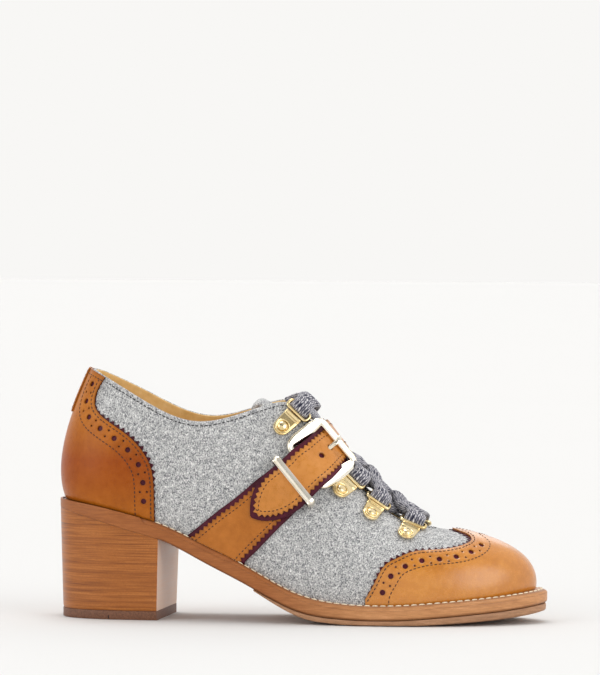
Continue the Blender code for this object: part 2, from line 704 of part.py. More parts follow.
def make_tongue():
    """The tongue, from under the vamp along the throat, then bent back over the collar to its tip."""
    stations = np.array([17.4, 16.7, 16.0, 15.0, 14.0, 13.0, 12.0, 11.3, 10.8])
    wing = np.interp(stations, [10.8, 12.5], [0.96, 0.84])
    shares = wing[:, None] + (1.0 - wing[:, None]) * np.array([0.0, 0.5, 1.0])[None]
    bridge = np.array([0.25, 0.5, 0.75])
    tip = {name: column(TONGUE_TIP_ROWS, TONGUE_TIP_COLUMNS, name) for name in TONGUE_TIP_COLUMNS}
    run = np.gradient(np.stack([tip["x"], tip["z"]], -1), axis=0)
    up = unit(np.stack([run[:, 1], -run[:, 0]], -1))
    across = np.linspace(-1.0, 1.0, 2 * shares.shape[1] + len(bridge))

    def face(depth, tip_depth):
        u = np.repeat(stations[:, None], shares.shape[1], 1)
        lateral = on_upper(u, shares, -depth * np.ones_like(u))
        medial = on_upper(-u, shares, -depth * np.ones_like(u))[:, ::-1]
        u, v = np.meshgrid(stations, bridge, indexing="ij")
        grid = np.concatenate([lateral, crest_point(u, v, -depth), medial], 1)
        x = np.repeat((tip["x"] - tip_depth * up[:, 0])[:, None], len(across), 1)
        y = tip["half_width"][:, None] * across[None]
        z = (tip["z"] - tip_depth * up[:, 1])[:, None] - tip["arch"][:, None] * across[None] ** 2
        return np.concatenate([grid, np.stack([x, y, z], -1)], 0)

    top = WALL + TONGUE_CLEARANCE
    sheet("tongue", face(top + TONGUE_THICKNESS, TONGUE_THICKNESS), face(top, 0.0), "felt")


def band_frame(a, lift):
    """Middle of the band with unit vectors along it, across it and out of it."""
    centre = on_band(a, 0.5, lift)
    along = unit(on_band(a + 0.05, 0.5, lift) - on_band(a - 0.05, 0.5, lift))
    across = on_band(a, 1.0, lift) - on_band(a, 0.0, lift)
    across = unit(across - along * np.dot(across, along))
    outward = np.cross(across, along)
    if np.dot(outward, centre - on_band(a, 0.5, lift - 1.0)) < 0.0:
        outward = -outward
    return centre, along, across, outward


def make_strap_base():
    """The short strap from the sole to the buckle's bar, folded round the bar beside the prong."""
    places = np.linspace(0.0, BASE_LIFT_ROWS[-1][0], 13)
    lifts = table_curve(BASE_LIFT_ROWS)(places)
    rear = np.interp(places, [3.6, 4.3], [0.0, FOLD_EDGES[0]])
    front = np.interp(places, [3.6, 4.3], [1.0, FOLD_EDGES[1]])
    shares = np.array([0.0, 0.2, 0.39, 0.61, 0.8, 1.0])
    a = np.repeat(places[:, None], len(shares), 1)
    c = rear[:, None] + (front - rear)[:, None] * shares[None]
    lift = np.repeat(lifts[:, None], len(shares), 1)
    low = on_band(a, c, lift)
    high = on_band(a, c, lift + BASE_THICKNESS)

    centre, along, across, outward = band_frame(BAR_PLACE, BAR_HEIGHT)
    offsets = np.einsum("ijk,k->ij", high[-1:] - centre, across)[0]
    inner = BUCKLE_WIRE_RADIUS + 0.25
    turns = np.radians([-30.0, 0.0, 35.0, 70.0, 105.0, 140.0, 175.0, 205.0])
    fold_low = []
    fold_high = []
    for turn in turns:
        ray = outward * math.cos(turn) + along * math.sin(turn)
        middle = centre + offsets[:, None] * across
        fold_low.append(middle + inner * ray)
        fold_high.append(middle + (inner + FOLD_THICKNESS) * ray)
    low = np.concatenate([low, np.array(fold_low)], 0)
    high = np.concatenate([high, np.array(fold_high)], 0)
    slot = [(i, 2) for i in range(len(places) - 1, len(low) - 1)]
    sheet("strap_base", low, high, "tan_leather", left_out=slot)


def make_strap_billet():
    """The long strap: from its tip through the buckle, over the crest and down to the medial welt."""
    lateral = np.array([2.0, 2.15, 2.32, 2.56, 2.84, 3.2, 3.55, 3.85, 4.05, 4.25, 4.45, 4.6, 4.8, 5.1,
                        *PRONG_SLOT, BAND_END])
    half = table_curve(BILLET_HALF_ROWS)(lateral)
    middle = table_curve(BILLET_MIDDLE_ROWS)(lateral)
    shares = np.array([-1.0, -0.6, -0.16, 0.16, 0.6, 1.0])
    lift = table_curve(BILLET_LIFT_ROWS)(lateral)
    crest_v = np.linspace(0.0, 1.0, 7)[1:-1]
    medial = np.linspace(BAND_END, 0.0, 15)
    medial_lift = table_curve(MEDIAL_LIFT_ROWS)(medial)
    widest = half[-1]

    def face(height):
        a = np.repeat(lateral[:, None], len(shares), 1)
        c = middle[:, None] + half[:, None] * shares[None]
        near = on_band(a, c, np.repeat(lift[:, None], len(shares), 1) + height)
        u, t = band_place(float(BAND_END), middle[-1] + widest * shares)
        crest_u, crest_w = np.meshgrid(u, crest_v)
        over = crest_point(crest_u, crest_w, CREST_LIFT + height)
        a = np.repeat(medial[:, None], len(shares), 1)
        c = np.repeat(middle[-1] + widest * shares[None], len(medial), 0)
        far = on_band(a, c, np.repeat(medial_lift[:, None], len(shares), 1) + height, side=-1.0)
        return np.concatenate([near, over, far], 0)

    slot = [(int(np.searchsorted(lateral, PRONG_SLOT[0])), 2)]
    sheet("strap_billet", face(0.0), face(BILLET_THICKNESS), "tan_leather", left_out=slot)


def make_keeper():
    """The metal loop around both straps."""
    centre, along, across, outward = band_frame(KEEPER_PLACE, 0.0)
    step = np.linalg.norm(on_band(KEEPER_PLACE + 0.1, 0.5, 0.0) - on_band(KEEPER_PLACE - 0.1, 0.5, 0.0)) / 0.2
    places = KEEPER_PLACE + np.array([-1.0, 1.0]) * KEEPER_HALF_WIDTH / step
    width = np.linalg.norm(on_band(KEEPER_PLACE, 1.0, 0.0) - on_band(KEEPER_PLACE, 0.0, 0.0))
    top = float(table_curve(BILLET_LIFT_ROWS)(KEEPER_PLACE)) + BILLET_THICKNESS + 2.0 * GAP
    shares = np.array([0.0, 0.25, 0.5, 0.75, 1.0])

    def loop(floor, ceiling, side):
        c = KEEPER_SHIFT - side / width + (1.0 + 2.0 * side / width) * shares
        points = []
        for share in c:
            points.append([on_band(place, share, floor) for place in places])
        for share in c[::-1]:
            points.append([on_band(place, share, ceiling) for place in places])
        return np.array(points)

    inside = loop(GAP + KEEPER_FLOOR, top, 0.5)
    outside = loop(GAP, top + KEEPER_METAL, 0.5 + KEEPER_METAL)
    sheet("strap_keeper", inside, outside, "gold_metal", closed=True)


def rounded(corners, radius, steps):
    """A closed path through corners, each rounded by an arc-like curve."""
    corners = np.asarray(corners, float)
    path = []
    for before, corner, after in zip(np.roll(corners, 1, 0), corners, np.roll(corners, -1, 0)):
        start = corner + radius * unit(before - corner)
        end = corner + radius * unit(after - corner)
        for step in np.linspace(0.0, 1.0, steps):
            path.append((1 - step) ** 2 * start + 2 * step * (1 - step) * corner + step * step * end)
    return np.array(path)


def make_buckle():
    """The buckle's frame and its prong."""
    centre, along, across, outward = band_frame(BAR_PLACE, BAR_HEIGHT)
    nose = on_band(NOSE_PLACE, 0.5, NOSE_HEIGHT)
    nose_across = unit(on_band(NOSE_PLACE, 1.0, NOSE_HEIGHT) - on_band(NOSE_PLACE, 0.0, NOSE_HEIGHT))
    bar_middle = centre + BAR_SHIFT * across
    nose_middle = nose + NOSE_SHIFT * nose_across
    corners = [bar_middle - BUCKLE_SIDE * across, nose_middle - BUCKLE_SIDE * nose_across,
               nose_middle + BUCKLE_SIDE * nose_across, bar_middle + BUCKLE_SIDE * across]
    path = rounded(corners, BUCKLE_CORNER, 4)
    plane = unit(np.cross(across, nose - centre))
    ups = np.broadcast_to(plane, path.shape)
    sweep("buckle_frame", path, ups, oval(1.0, 2.0 * BUCKLE_WIRE_RADIUS, 8), "gold_metal", closed=True,
          widths=np.array(BUCKLE_WIDTHS))

    radius = BUCKLE_WIRE_RADIUS + 0.25 + 0.5 * PRONG_METAL
    path = []
    for turn in np.radians([-200.0, -160.0, -120.0, -80.0, -40.0, -5.0]):
        path.append(bar_middle + radius * (outward * math.cos(turn) + along * math.sin(turn)))
    for place, height in PRONG_ROWS:
        path.append(on_band(place, float(table_curve(BILLET_MIDDLE_ROWS)(place)), height))
    ups = -np.cross(np.gradient(np.array(path), axis=0), across)
    section = 0.5 * np.array([[-PRONG_WIDTH, -PRONG_METAL], [PRONG_WIDTH, -PRONG_METAL],
                              [PRONG_WIDTH, PRONG_METAL], [-PRONG_WIDTH, PRONG_METAL]])
    sweep("buckle_prong", path, ups, section, "gold_metal")


def hook_frame(row, side):
    """A hook's seat on the upper with unit vectors across, towards the throat and outwards."""
    rivet_u, rivet_t, bar_u, bar_t = row
    u = 0.5 * (rivet_u + bar_u)
    t = 0.5 * (rivet_t + bar_t)
    seat = upper_point(side * u, t)
    outward = upper_normal(side * u, t)
    up = upper_point(side * bar_u, bar_t) - upper_point(side * rivet_u, rivet_t)
    up = unit(up - outward * np.dot(up, outward))
    return seat, np.cross(up, outward), up, outward


def in_frame(frame, points):
    """Points given as (across, up, out) in a frame."""
    seat, across, up, outward = frame
    points = np.atleast_2d(np.asarray(points, float))
    return seat + points[:, :1] * across + points[:, 1:2] * up + points[:, 2:] * outward


def make_hook(name, frame):
    """One lace hook: a riveted plate that carries a D-shaped ring."""
    bar = 0.5 * RIVET_TO_BAR
    rivet = -bar
    turn = np.radians([180.0, 216.0, 252.0, 288.0, 324.0, 360.0])
    foot = 0.5 * PLATE_WIDTH
    outline = [(foot * math.cos(angle), rivet + foot * math.sin(angle)) for angle in turn]
    outline += [(0.5 * PLATE_TOP_WIDTH, bar + 0.3), (-0.5 * PLATE_TOP_WIDTH, bar + 0.3)]
    count = len(outline)
    top = PLATE_LIFT + PLATE_THICKNESS
    points = [(x, y, PLATE_LIFT) for x, y in outline] + [(x, y, top) for x, y in outline]
    faces = [list(range(count)), [count + k for k in range(count)]]
    for k in range(count):
        n = (k + 1) % count
        faces.append([k, n, count + n, count + k])
    plate = make_object(name, in_frame(frame, points), faces, "gold_metal")

    head = np.arange(8) * math.pi / 4.0
    points = []
    for radius, height in ((RIVET_RADIUS, top - 0.5 * PLATE_THICKNESS), (RIVET_RADIUS, top),
                           (0.7 * RIVET_RADIUS, top + RIVET_HEIGHT)):
        points += [(radius * math.cos(angle), rivet + radius * math.sin(angle), height) for angle in head]
    faces = [list(range(8)), list(range(16, 24))]
    for level in (0, 8):
        for k in range(8):
            n = (k + 1) % 8
            faces.append([level + k, level + n, level + 8 + n, level + 8 + k])
    rivet_head = make_object(name + "_rivet", in_frame(frame, points), faces, "gold_metal")

    half = 0.5 * RING_WIDTH
    corners = np.array([(-half, bar, 0.0), (half, bar, 0.0), (half, bar + RING_DEPTH, 0.0),
                        (-half, bar + RING_DEPTH, 0.0)])
    path = rounded(corners, 0.4 * RING_DEPTH, 2)
    path[:, 2] = RING_HEIGHT
    wire = oval(2.0 * RING_WIRE_RADIUS, 2.0 * RING_WIRE_RADIUS, 6)
    ring = sweep(name + "_ring", in_frame(frame, path), frame[3], wire, "gold_metal", closed=True)
    join(plate, rivet_head, ring)


def lace_end(frame, kind):
    """Two points of a lace at a hook's ring, by the kind of end."""
    reach, height, next_height = LACE_ENDS[kind]
    far = 0.5 * RIVET_TO_BAR + RING_DEPTH + reach
    return in_frame(frame, [(0.0, far, height), (0.0, far + LACE_END_LENGTH, next_height)])


def lace_run(name, start, start_kind, end, end_kind, middle, thickness):
    """One run of the lace between two hooks, thicker where it lies loose between them."""
    first = lace_end(start, start_kind)
    last = lace_end(end, end_kind)[::-1]
    path = smooth_path(np.concatenate([first, middle, last]), 10)
    share = np.linspace(0.0, 1.0, len(path))
    ups = np.outer(1.0 - share, start[3]) + np.outer(share, end[3])
    swell = LACE_THICKNESS + (thickness - LACE_THICKNESS) * np.sin(math.pi * share) ** 2
    return sweep(name, path, ups, oval(LACE_WIDTH, 1.0, 6), "lace_yarn", heights=swell)


def make_hooks_and_lace():
    """Four hooks on each side and the lace's crossings, the first one with the lace's top bar."""
    frames = {}
    for side_name, side in (("lateral", 1.0), ("medial", -1.0)):
        for number, row in enumerate(HOOK_ROWS, 1):
            frames[side_name, number] = hook_frame(row, side)
            make_hook(f"lace_hook_{side_name}_{number}", frames[side_name, number])

    bar_u = column(HOOK_ROWS, HOOK_COLUMNS, "bar_station")
    v = np.array([0.3, 0.5, 0.7])
    for number in range(1, len(HOOK_ROWS)):
        low_u = bar_u[number]
        high_u = bar_u[number - 1]
        thickness = LACE_THICKNESS if number == 1 else LACE_LOOSE_THICKNESS
        depth = WALL + TONGUE_CLEARANCE - LACE_ABOVE_TONGUE - 0.5 * thickness
        rises = np.array(LACE_RISE_TIGHT if number == 1 else LACE_RISE_LOOSE)
        over = crest_point(low_u + (high_u - low_u) * v, v, rises[0] - depth)
        under = crest_point(high_u + (low_u - high_u) * v, v, rises[1] - depth)[::-1]
        low_kind = "level" if number == 1 else "over"
        high_kind = "short" if number == 2 else "under"
        name = f"lace_cross_{number}"
        first = lace_run(name, frames["lateral", number + 1], low_kind, frames["medial", number], high_kind,
                         over, thickness)
        second = lace_run(name + "_mate", frames["medial", number + 1], low_kind, frames["lateral", number], high_kind,
                          under, thickness)
        join(first, second)
        if number == 1:
            top_bar = lace_run("lace_top_bar", frames["lateral", 1], "top", frames["medial", 1], "top",
                               [TOP_BAR_MIDDLE], LACE_THICKNESS)
            join(first, top_bar)


def centre_on_floor():
    """Hangs every piece from one empty, placed so that the origin is under the middle of the box."""
    pieces = [piece for piece in bpy.context.scene.objects if piece.type == "MESH"]
    corners = np.array([point.co for piece in pieces if not piece.hide_render for point in piece.data.vertices])
    low = corners.min(0)
    high = corners.max(0)
    shoe = bpy.data.objects.new("shoe", None)
    bpy.context.scene.collection.objects.link(shoe)
    shoe.location = (-0.5 * (low[0] + high[0]), -0.5 * (low[1] + high[1]), -low[2])
    for piece in pieces:
        piece.parent = shoe


def main():
    for old in list(bpy.data.objects):
        bpy.data.objects.remove(old, do_unlink=True)
    make_sole()
    make_upper()
    make_overlays()
    make_tongue()
    make_strap_base()
    make_strap_billet()
    make_keeper()
    make_buckle()
    make_hooks_and_lace()
    centre_on_floor()


main()
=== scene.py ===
"""Looks of a right-foot wing-tip shoe in felt and tan leather, laced and buckled, on a stacked heel.

Sizes are in millimetres in the shoe's own frame: x runs from the back of the heel to the toe, minus y is
the lateral side and z is up from the floor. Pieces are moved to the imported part's frame when they are made.
"""
import math

import bmesh
import bpy
import numpy as np
from mathutils import Matrix, Vector
from mathutils.geometry import delaunay_2d_cdt


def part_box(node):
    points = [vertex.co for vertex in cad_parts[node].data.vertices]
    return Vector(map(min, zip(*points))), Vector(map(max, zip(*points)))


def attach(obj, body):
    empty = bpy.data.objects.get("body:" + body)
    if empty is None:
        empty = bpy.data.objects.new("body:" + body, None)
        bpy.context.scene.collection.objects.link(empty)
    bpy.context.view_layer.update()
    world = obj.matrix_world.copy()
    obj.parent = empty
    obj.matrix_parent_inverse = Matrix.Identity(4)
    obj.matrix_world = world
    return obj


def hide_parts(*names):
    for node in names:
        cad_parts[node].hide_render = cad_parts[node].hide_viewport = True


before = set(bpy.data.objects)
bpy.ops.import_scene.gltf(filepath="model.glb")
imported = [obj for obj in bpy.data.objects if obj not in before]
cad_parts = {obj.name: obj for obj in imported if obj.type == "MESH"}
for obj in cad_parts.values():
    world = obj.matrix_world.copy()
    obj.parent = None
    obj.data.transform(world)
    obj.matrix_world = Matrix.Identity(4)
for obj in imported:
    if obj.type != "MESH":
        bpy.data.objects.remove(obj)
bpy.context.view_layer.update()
MM = 0.001

# Sizes shared with the part
GAP = 0.3
FOOT_GAP = 0.2 * GAP
WALL = 2.2
WELT_INSET = 0.06
WELT_THICKNESS = 2.4
SEAT_INSET = 2.5
INSOLE_ABOVE_WELT = 1.0
HALF_SOLE_REAR_X = 101.0
HALF_SOLE_FULL_X = 126.0
HALF_SOLE_REAR_THICKNESS = 1.0
HALF_SOLE_THICKNESS = 3.0
HALF_SOLE_INSET = 0.5
HEEL_BREAST_X = 53.2
HEEL_BREAST_LEAN = 0.9
HEEL_BREAST_SKEW = 2.4
HEEL_TOP_INSET = 0.08
HEEL_BOTTOM_INSET = 1.7
TONGUE_THICKNESS = 2.0
TONGUE_CLEARANCE = 0.6
CREST_REACH = 0.33
KEEPER_PLACE = 4.05
BUCKLE_SIDE = 13.2
BAR_SHIFT = 2.0
NOSE_SHIFT = 1.1
BUCKLE_CORNER = 3.2
BAR_PLACE = 4.6
BAR_HEIGHT = 2.85
NOSE_PLACE = 6.15
NOSE_HEIGHT = 7.2
RIVET_TO_BAR = 8.6
RING_WIDTH = 12.6
RING_DEPTH = 4.6
RING_HEIGHT = 1.7
BRIDGE_PLACES = 2.0
CREST_LIFT = 3.2

# Sole outline from above: distance from the heel back, half widths on the two sides
SOLE_COLUMNS = ("x", "lateral", "medial")
SOLE_ROWS = (
    (0.0, 0.0, 0.0),
    (1.6, 10.0, 9.5),
    (7.0, 19.0, 18.0),
    (18.0, 25.6, 24.4),
    (33.0, 28.9, 27.3),
    (50.0, 29.9, 27.8),
    (67.0, 30.5, 26.6),
    (84.0, 31.9, 25.0),
    (101.0, 34.7, 24.5),
    (117.0, 38.0, 26.2),
    (132.0, 40.6, 30.0),
    (147.0, 42.6, 35.0),
    (162.0, 43.3, 39.2),
    (177.0, 42.6, 41.5),
    (191.0, 40.0, 41.2),
    (204.0, 35.7, 38.4),
    (216.0, 29.6, 33.8),
    (226.5, 22.8, 28.0),
    (235.0, 14.8, 20.8),
    (240.8, 6.0, 12.2),
    (243.0, -3.0, 3.0),
)
HEIGHT_COLUMNS = ("x", "welt_top", "outsole_bottom")
HEIGHT_ROWS = (
    (-4.0, 59.4, 55.8),
    (20.0, 56.3, 49.6),
    (40.0, 51.8, 43.9),
    (55.0, 47.3, 39.4),
    (75.0, 38.2, 29.5),
    (95.0, 28.9, 19.7),
    (110.0, 20.9, 12.0),
    (125.0, 14.3, 5.9),
    (140.0, 11.1, 3.5),
    (158.0, 9.9, 2.7),
    (175.0, 10.2, 3.0),
    (195.0, 11.7, 4.5),
    (215.0, 13.4, 6.2),
    (232.0, 15.4, 8.1),
    (247.0, 18.0, 10.4),
)

# Sections of the upper from the back seam to the toe, as in the part
UPPER_COLUMNS = ("foot_x", "foot_lateral", "foot_medial", "top_x", "top_side", "top_z",
                 "flare", "rise", "out", "drop")
UPPER_ROWS = (
    (4.2, 0.0, 0.0, 16.3, 0.0, 123.4, 7.5, 17.0, 10.0, 21.0),
    (5.8, 9.0, 8.6, 17.6, 6.6, 122.9, 7.2, 17.0, 8.5, 21.0),
    (11.0, 17.0, 16.2, 21.5, 12.2, 121.0, 6.6, 17.0, 6.0, 20.0),
    (21.0, 22.8, 21.6, 29.0, 17.2, 117.0, 6.0, 17.0, 4.0, 19.0),
    (36.0, 25.8, 24.0, 40.5, 21.4, 110.6, 5.0, 17.0, 3.0, 18.0),
    (52.0, 26.6, 24.2, 54.0, 24.2, 103.4, 4.0, 17.0, 3.0, 17.0),
    (67.0, 27.0, 23.0, 68.0, 25.2, 98.8, 3.0, 17.0, 3.5, 17.0),
    (80.0, 27.9, 21.8, 82.0, 24.2, 99.4, 2.5, 18.0, 6.0, 19.0),
    (91.0, 29.0, 21.0, 96.0, 20.8, 103.6, 2.5, 20.0, 9.0, 22.0),
    (101.0, 30.4, 20.8, 107.5, 16.6, 107.4, 2.5, 22.0, 12.0, 24.0),
    (110.0, 32.2, 21.6, 116.0, 13.4, 107.4, 2.5, 23.0, 14.0, 22.0),
    (121.0, 34.6, 23.6, 123.0, 12.6, 99.4, 2.5, 23.0, 14.5, 18.0),
    (134.0, 36.8, 27.0, 132.0, 12.6, 87.6, 2.5, 22.0, 15.0, 14.0),
    (149.0, 38.6, 31.6, 142.5, 12.4, 75.2, 2.5, 20.0, 15.5, 11.0),
    (165.0, 39.0, 35.6, 153.5, 11.8, 63.8, 2.5, 18.0, 16.0, 8.5),
    (182.0, 37.4, 37.2, 164.5, 10.8, 54.6, 2.5, 16.5, 16.5, 6.0),
    (199.0, 32.8, 35.2, 174.5, 8.8, 48.9, 3.0, 16.5, 18.0, 4.4),
    (214.0, 25.2, 29.4, 181.0, 5.8, 46.9, 3.0, 17.0, 22.0, 3.8),
    (226.0, 15.2, 20.6, 184.2, 2.9, 46.4, 3.5, 17.5, 25.5, 3.4),
    (233.5, 5.0, 11.2, 185.4, 1.0, 46.2, 3.5, 18.0, 28.0, 3.2),
    (235.8, -3.0, 3.0, 185.7, 0.0, 46.2, 3.5, 18.0, 28.5, 3.2),
)
TOE = len(UPPER_ROWS) - 1

# Wing-shaped edge of the toe cap and edge of the heel counter, as stations and shares of the way up
CAP_EDGE_COLUMNS = ("station", "share")
CAP_EDGE_ROWS = (
    (13.5, 0.05),
    (13.8, 0.17),
    (14.1, 0.29),
    (14.6, 0.39),
    (15.2, 0.475),
    (16.0, 0.525),
    (16.6, 0.545),
    (17.4, 0.59),
    (18.1, 0.65),
    (18.6, 0.715),
    (19.1, 0.79),
    (19.6, 0.855),
    (20.0, 0.88),
)
COUNTER_EDGE_COLUMNS = ("share", "station")
COUNTER_EDGE_ROWS = (
    (0.0, 4.94),
    (0.2, 4.92),
    (0.38, 4.86),
    (0.48, 4.74),
    (0.56, 4.5),
    (0.62, 4.15),
    (0.66, 3.65),
    (0.69, 3.0),
    (0.72, 2.55),
    (0.76, 2.26),
    (0.82, 2.13),
    (0.9, 2.2),
    (1.0, 2.48),
)
TONGUE_TIP_COLUMNS = ("x", "z", "half_width", "arch")
TONGUE_TIP_ROWS = (
    (113.5, 104.6, 11.0, 2.6),
    (105.5, 107.0, 10.5, 2.6),
    (100.2, 109.2, 9.5, 2.2),
    (95.8, 105.6, 7.5, 1.8),
)

# Strap band, and how high the straps lie over the upper along it
BAND_COLUMNS = ("rear_station", "rear_share", "front_station", "front_share")
BAND_ROWS = (
    (6.02, 0.0, 8.5, 0.0),
    (6.8, 0.26, 8.7, 0.055),
    (7.67, 0.435, 9.6, 0.225),
    (8.52, 0.565, 10.68, 0.395),
    (9.3, 0.64, 11.44, 0.53),
    (10.7, 0.81, 12.42, 0.765),
    (11.53, 1.0, 12.98, 1.0),
)
BAND_END = len(BAND_ROWS) - 1
# Place along the band and height over the upper
BASE_LIFT_ROWS = ((0.0, 0.3), (3.3, 0.3), (3.9, 1.4), (4.2, 1.4), (4.36, 2.0))
BILLET_LIFT_ROWS = ((2.0, 2.8), (3.2, 2.8), (3.85, 3.95), (4.25, 4.1), (4.6, 5.8), (5.3, 4.6), (5.8, 3.2),
                    (6.0, 3.2))
MEDIAL_LIFT_ROWS = ((0.0, 0.3), (3.5, 0.3), (4.5, 0.6), (6.0, 3.2))
PRONG_ROWS = ((4.85, 4.3), (5.1, 3.5), (5.3, 3.2), (5.45, 3.2), (5.6, 4.2), (5.72, 5.8), (5.84, 7.4),
              (5.95, 8.5), (6.1, 9.25), (6.22, 9.2))

# Lace hooks from the collar down: rivet and ring bar on the upper
HOOK_COLUMNS = ("rivet_station", "rivet_share", "bar_station", "bar_share")
HOOK_ROWS = (
    (9.53, 0.835, 10.3, 0.925),
    (12.9, 0.755, 13.36, 0.93),
    (14.13, 0.745, 14.5, 0.94),
    (15.4, 0.69, 16.0, 0.89),
)


def column(rows, columns, name):
    """One named column of a table."""
    return np.array([row[columns.index(name)] for row in rows])


def closed_spline(values):
    """A smooth closed curve through values at whole numbers, as a function."""
    values = np.asarray(values, float)
    count = len(values)
    matrix = 4.0 * np.eye(count) + np.roll(np.eye(count), 1, 0) + np.roll(np.eye(count), -1, 0)
    bend = np.linalg.solve(matrix, 6.0 * (np.roll(values, 1) - 2.0 * values + np.roll(values, -1)))

    def curve(u):
        u = np.mod(np.asarray(u, float), count)
        low = np.floor(u).astype(int) % count
        high = (low + 1) % count
        b = u - np.floor(u)
        a = 1.0 - b
        return (a * values[low] + b * values[high]
                + ((a**3 - a) * bend[low] + (b**3 - b) * bend[high]) / 6.0)
    return curve


def open_spline(xs, ys):
    """A smooth curve through points as a function of x."""
    xs = np.asarray(xs, float)
    ys = np.asarray(ys, float)
    count = len(xs)
    step = np.diff(xs)
    matrix = np.eye(count)
    right = np.zeros(count)
    for k in range(1, count - 1):
        matrix[k, k - 1:k + 2] = step[k - 1], 2.0 * (step[k - 1] + step[k]), step[k]
        right[k] = 6.0 * ((ys[k + 1] - ys[k]) / step[k] - (ys[k] - ys[k - 1]) / step[k - 1])
    bend = np.linalg.solve(matrix, right)

    def curve(x):
        x = np.asarray(x, float)
        k = np.clip(np.searchsorted(xs, x) - 1, 0, count - 2)
        h = step[k]
        b = (x - xs[k]) / h
        a = 1.0 - b
        return a * ys[k] + b * ys[k + 1] + ((a**3 - a) * bend[k] + (b**3 - b) * bend[k + 1]) * h * h / 6.0
    return curve


def curve_through(rows, columns, x, y):
    """A smooth curve through two named columns of a table."""
    return open_spline(column(rows, columns, x), column(rows, columns, y))


def soft_table(rows, reach):
    """Lines through a two-column table with their corners eased over a reach, as a function."""
    xs = [row[0] for row in rows]
    ys = [row[1] for row in rows]
    near = np.linspace(-reach, reach, 9)
    return lambda x: np.interp(np.asarray(x, float)[..., None] + near, xs, ys).mean(-1)


def around(values, back):
    """Station values down the lateral side and back along the medial side, as a closed spline."""
    return closed_spline(np.concatenate([values, back[-2:0:-1]]))


def even(rows, columns, name):
    """A column of a loop's table that is the same on both sides."""
    values = column(rows, columns, name)
    return around(values, values)


def sided(rows, columns, lateral, medial):
    """The y of a loop, from its half widths on the two sides."""
    return around(-column(rows, columns, lateral), column(rows, columns, medial))


sole_x = even(SOLE_ROWS, SOLE_COLUMNS, "x")
sole_y = sided(SOLE_ROWS, SOLE_COLUMNS, "lateral", "medial")
welt_top = curve_through(HEIGHT_ROWS, HEIGHT_COLUMNS, "x", "welt_top")
outsole_bottom = curve_through(HEIGHT_ROWS, HEIGHT_COLUMNS, "x", "outsole_bottom")
foot_y = sided(UPPER_ROWS, UPPER_COLUMNS, "foot_lateral", "foot_medial")
top_y = sided(UPPER_ROWS, UPPER_COLUMNS, "top_side", "top_side")
foot_x, top_x, top_z, flare, rise, out, drop = [
    even(UPPER_ROWS, UPPER_COLUMNS, name)
    for name in ("foot_x", "top_x", "top_z", "flare", "rise", "out", "drop")]
cap_edge = curve_through(CAP_EDGE_ROWS, CAP_EDGE_COLUMNS, "station", "share")
counter_edge = curve_through(COUNTER_EDGE_ROWS, COUNTER_EDGE_COLUMNS, "share", "station")
band_edges = {name: open_spline(range(len(BAND_ROWS)), column(BAND_ROWS, BAND_COLUMNS, name))
              for name in BAND_COLUMNS}
base_lift = soft_table(BASE_LIFT_ROWS, 0.2)
billet_lift = soft_table(BILLET_LIFT_ROWS, 0.15)
medial_lift = soft_table(MEDIAL_LIFT_ROWS, 0.3)


def unit(vector):
    return vector / np.linalg.norm(vector, axis=-1, keepdims=True)


def matched(first, second):
    """Two inputs as arrays of numbers of one shape."""
    return np.broadcast_arrays(np.asarray(first, float), np.asarray(second, float))


def led_curve(first, second, third, last, share):
    """Points at a share of the way from a first to a last point, led by two more between them."""
    t = share[..., None]
    r = 1.0 - t
    return r**3 * first + 3.0 * r * r * t * second + 3.0 * r * t * t * third + t**3 * last


def run_lengths(points):
    """How far along a path each of its points lies."""
    return np.concatenate([[0.0], np.cumsum(np.linalg.norm(np.diff(points, axis=0), axis=1))])


def at_lengths(at, length, points):
    """The points of a path at distances along it."""
    return np.stack([np.interp(at, length, points[:, k]) for k in range(points.shape[1])], -1)


def plan_normal(curve_x, curve_y, u, step=0.05):
    """Unit vector in plan that points out of a loop."""
    dx = curve_x(u + step) - curve_x(u - step)
    dy = curve_y(u + step) - curve_y(u - step)
    size = np.hypot(dx, dy)
    return dy / size, -dx / size


def upper_point(u, t):
    """The upper's outer face: u in stations, minus on the medial side, t from the welt to the top edge."""
    u, t = matched(u, t)
    foot = np.stack([foot_x(u), foot_y(u), welt_top(foot_x(u)) + GAP], -1)
    top = np.stack([top_x(u), top_y(u), top_z(u)], -1)
    nx, ny = plan_normal(foot_x, foot_y, u)
    low = foot + np.stack([flare(u) * nx, flare(u) * ny, rise(u)], -1)
    nx, ny = plan_normal(top_x, top_y, u)
    high = top + np.stack([out(u) * nx, out(u) * ny, -drop(u)], -1)
    return led_curve(foot, low, high, top, t)


# A small share of the way up, which tells how the upper runs at its top edge
EDGE_STEP = 0.02


def edge_length(u):
    """Millimetres that a whole share of the way up would measure at the top edge."""
    return np.linalg.norm(upper_point(u, 1.0) - upper_point(u, 1.0 - EDGE_STEP), axis=-1) / EDGE_STEP


def upper_normal(u, t, step=0.01):
    """Unit vector out of the upper's outer face."""
    u, t = matched(u, t)
    t = np.minimum(t, 1.0)
    along = upper_point(u + step, t) - upper_point(u - step, t)
    up = upper_point(u, np.minimum(t + step, 1.0)) - upper_point(u, np.maximum(t - step, 0.0))
    return unit(np.cross(along, up))


def on_upper(u, t, lift):
    """A point at a height over the upper's outer face, no lower than the upper's own foot."""
    u, t = matched(u, t)
    lift = np.broadcast_to(np.asarray(lift, float), u.shape)
    point = upper_point(u, t) + lift[..., None] * upper_normal(u, t)
    floor = welt_top(point[..., 0]) + FOOT_GAP
    point[..., 2] = np.where(t <= 0.0, floor, np.maximum(point[..., 2], floor))
    return point


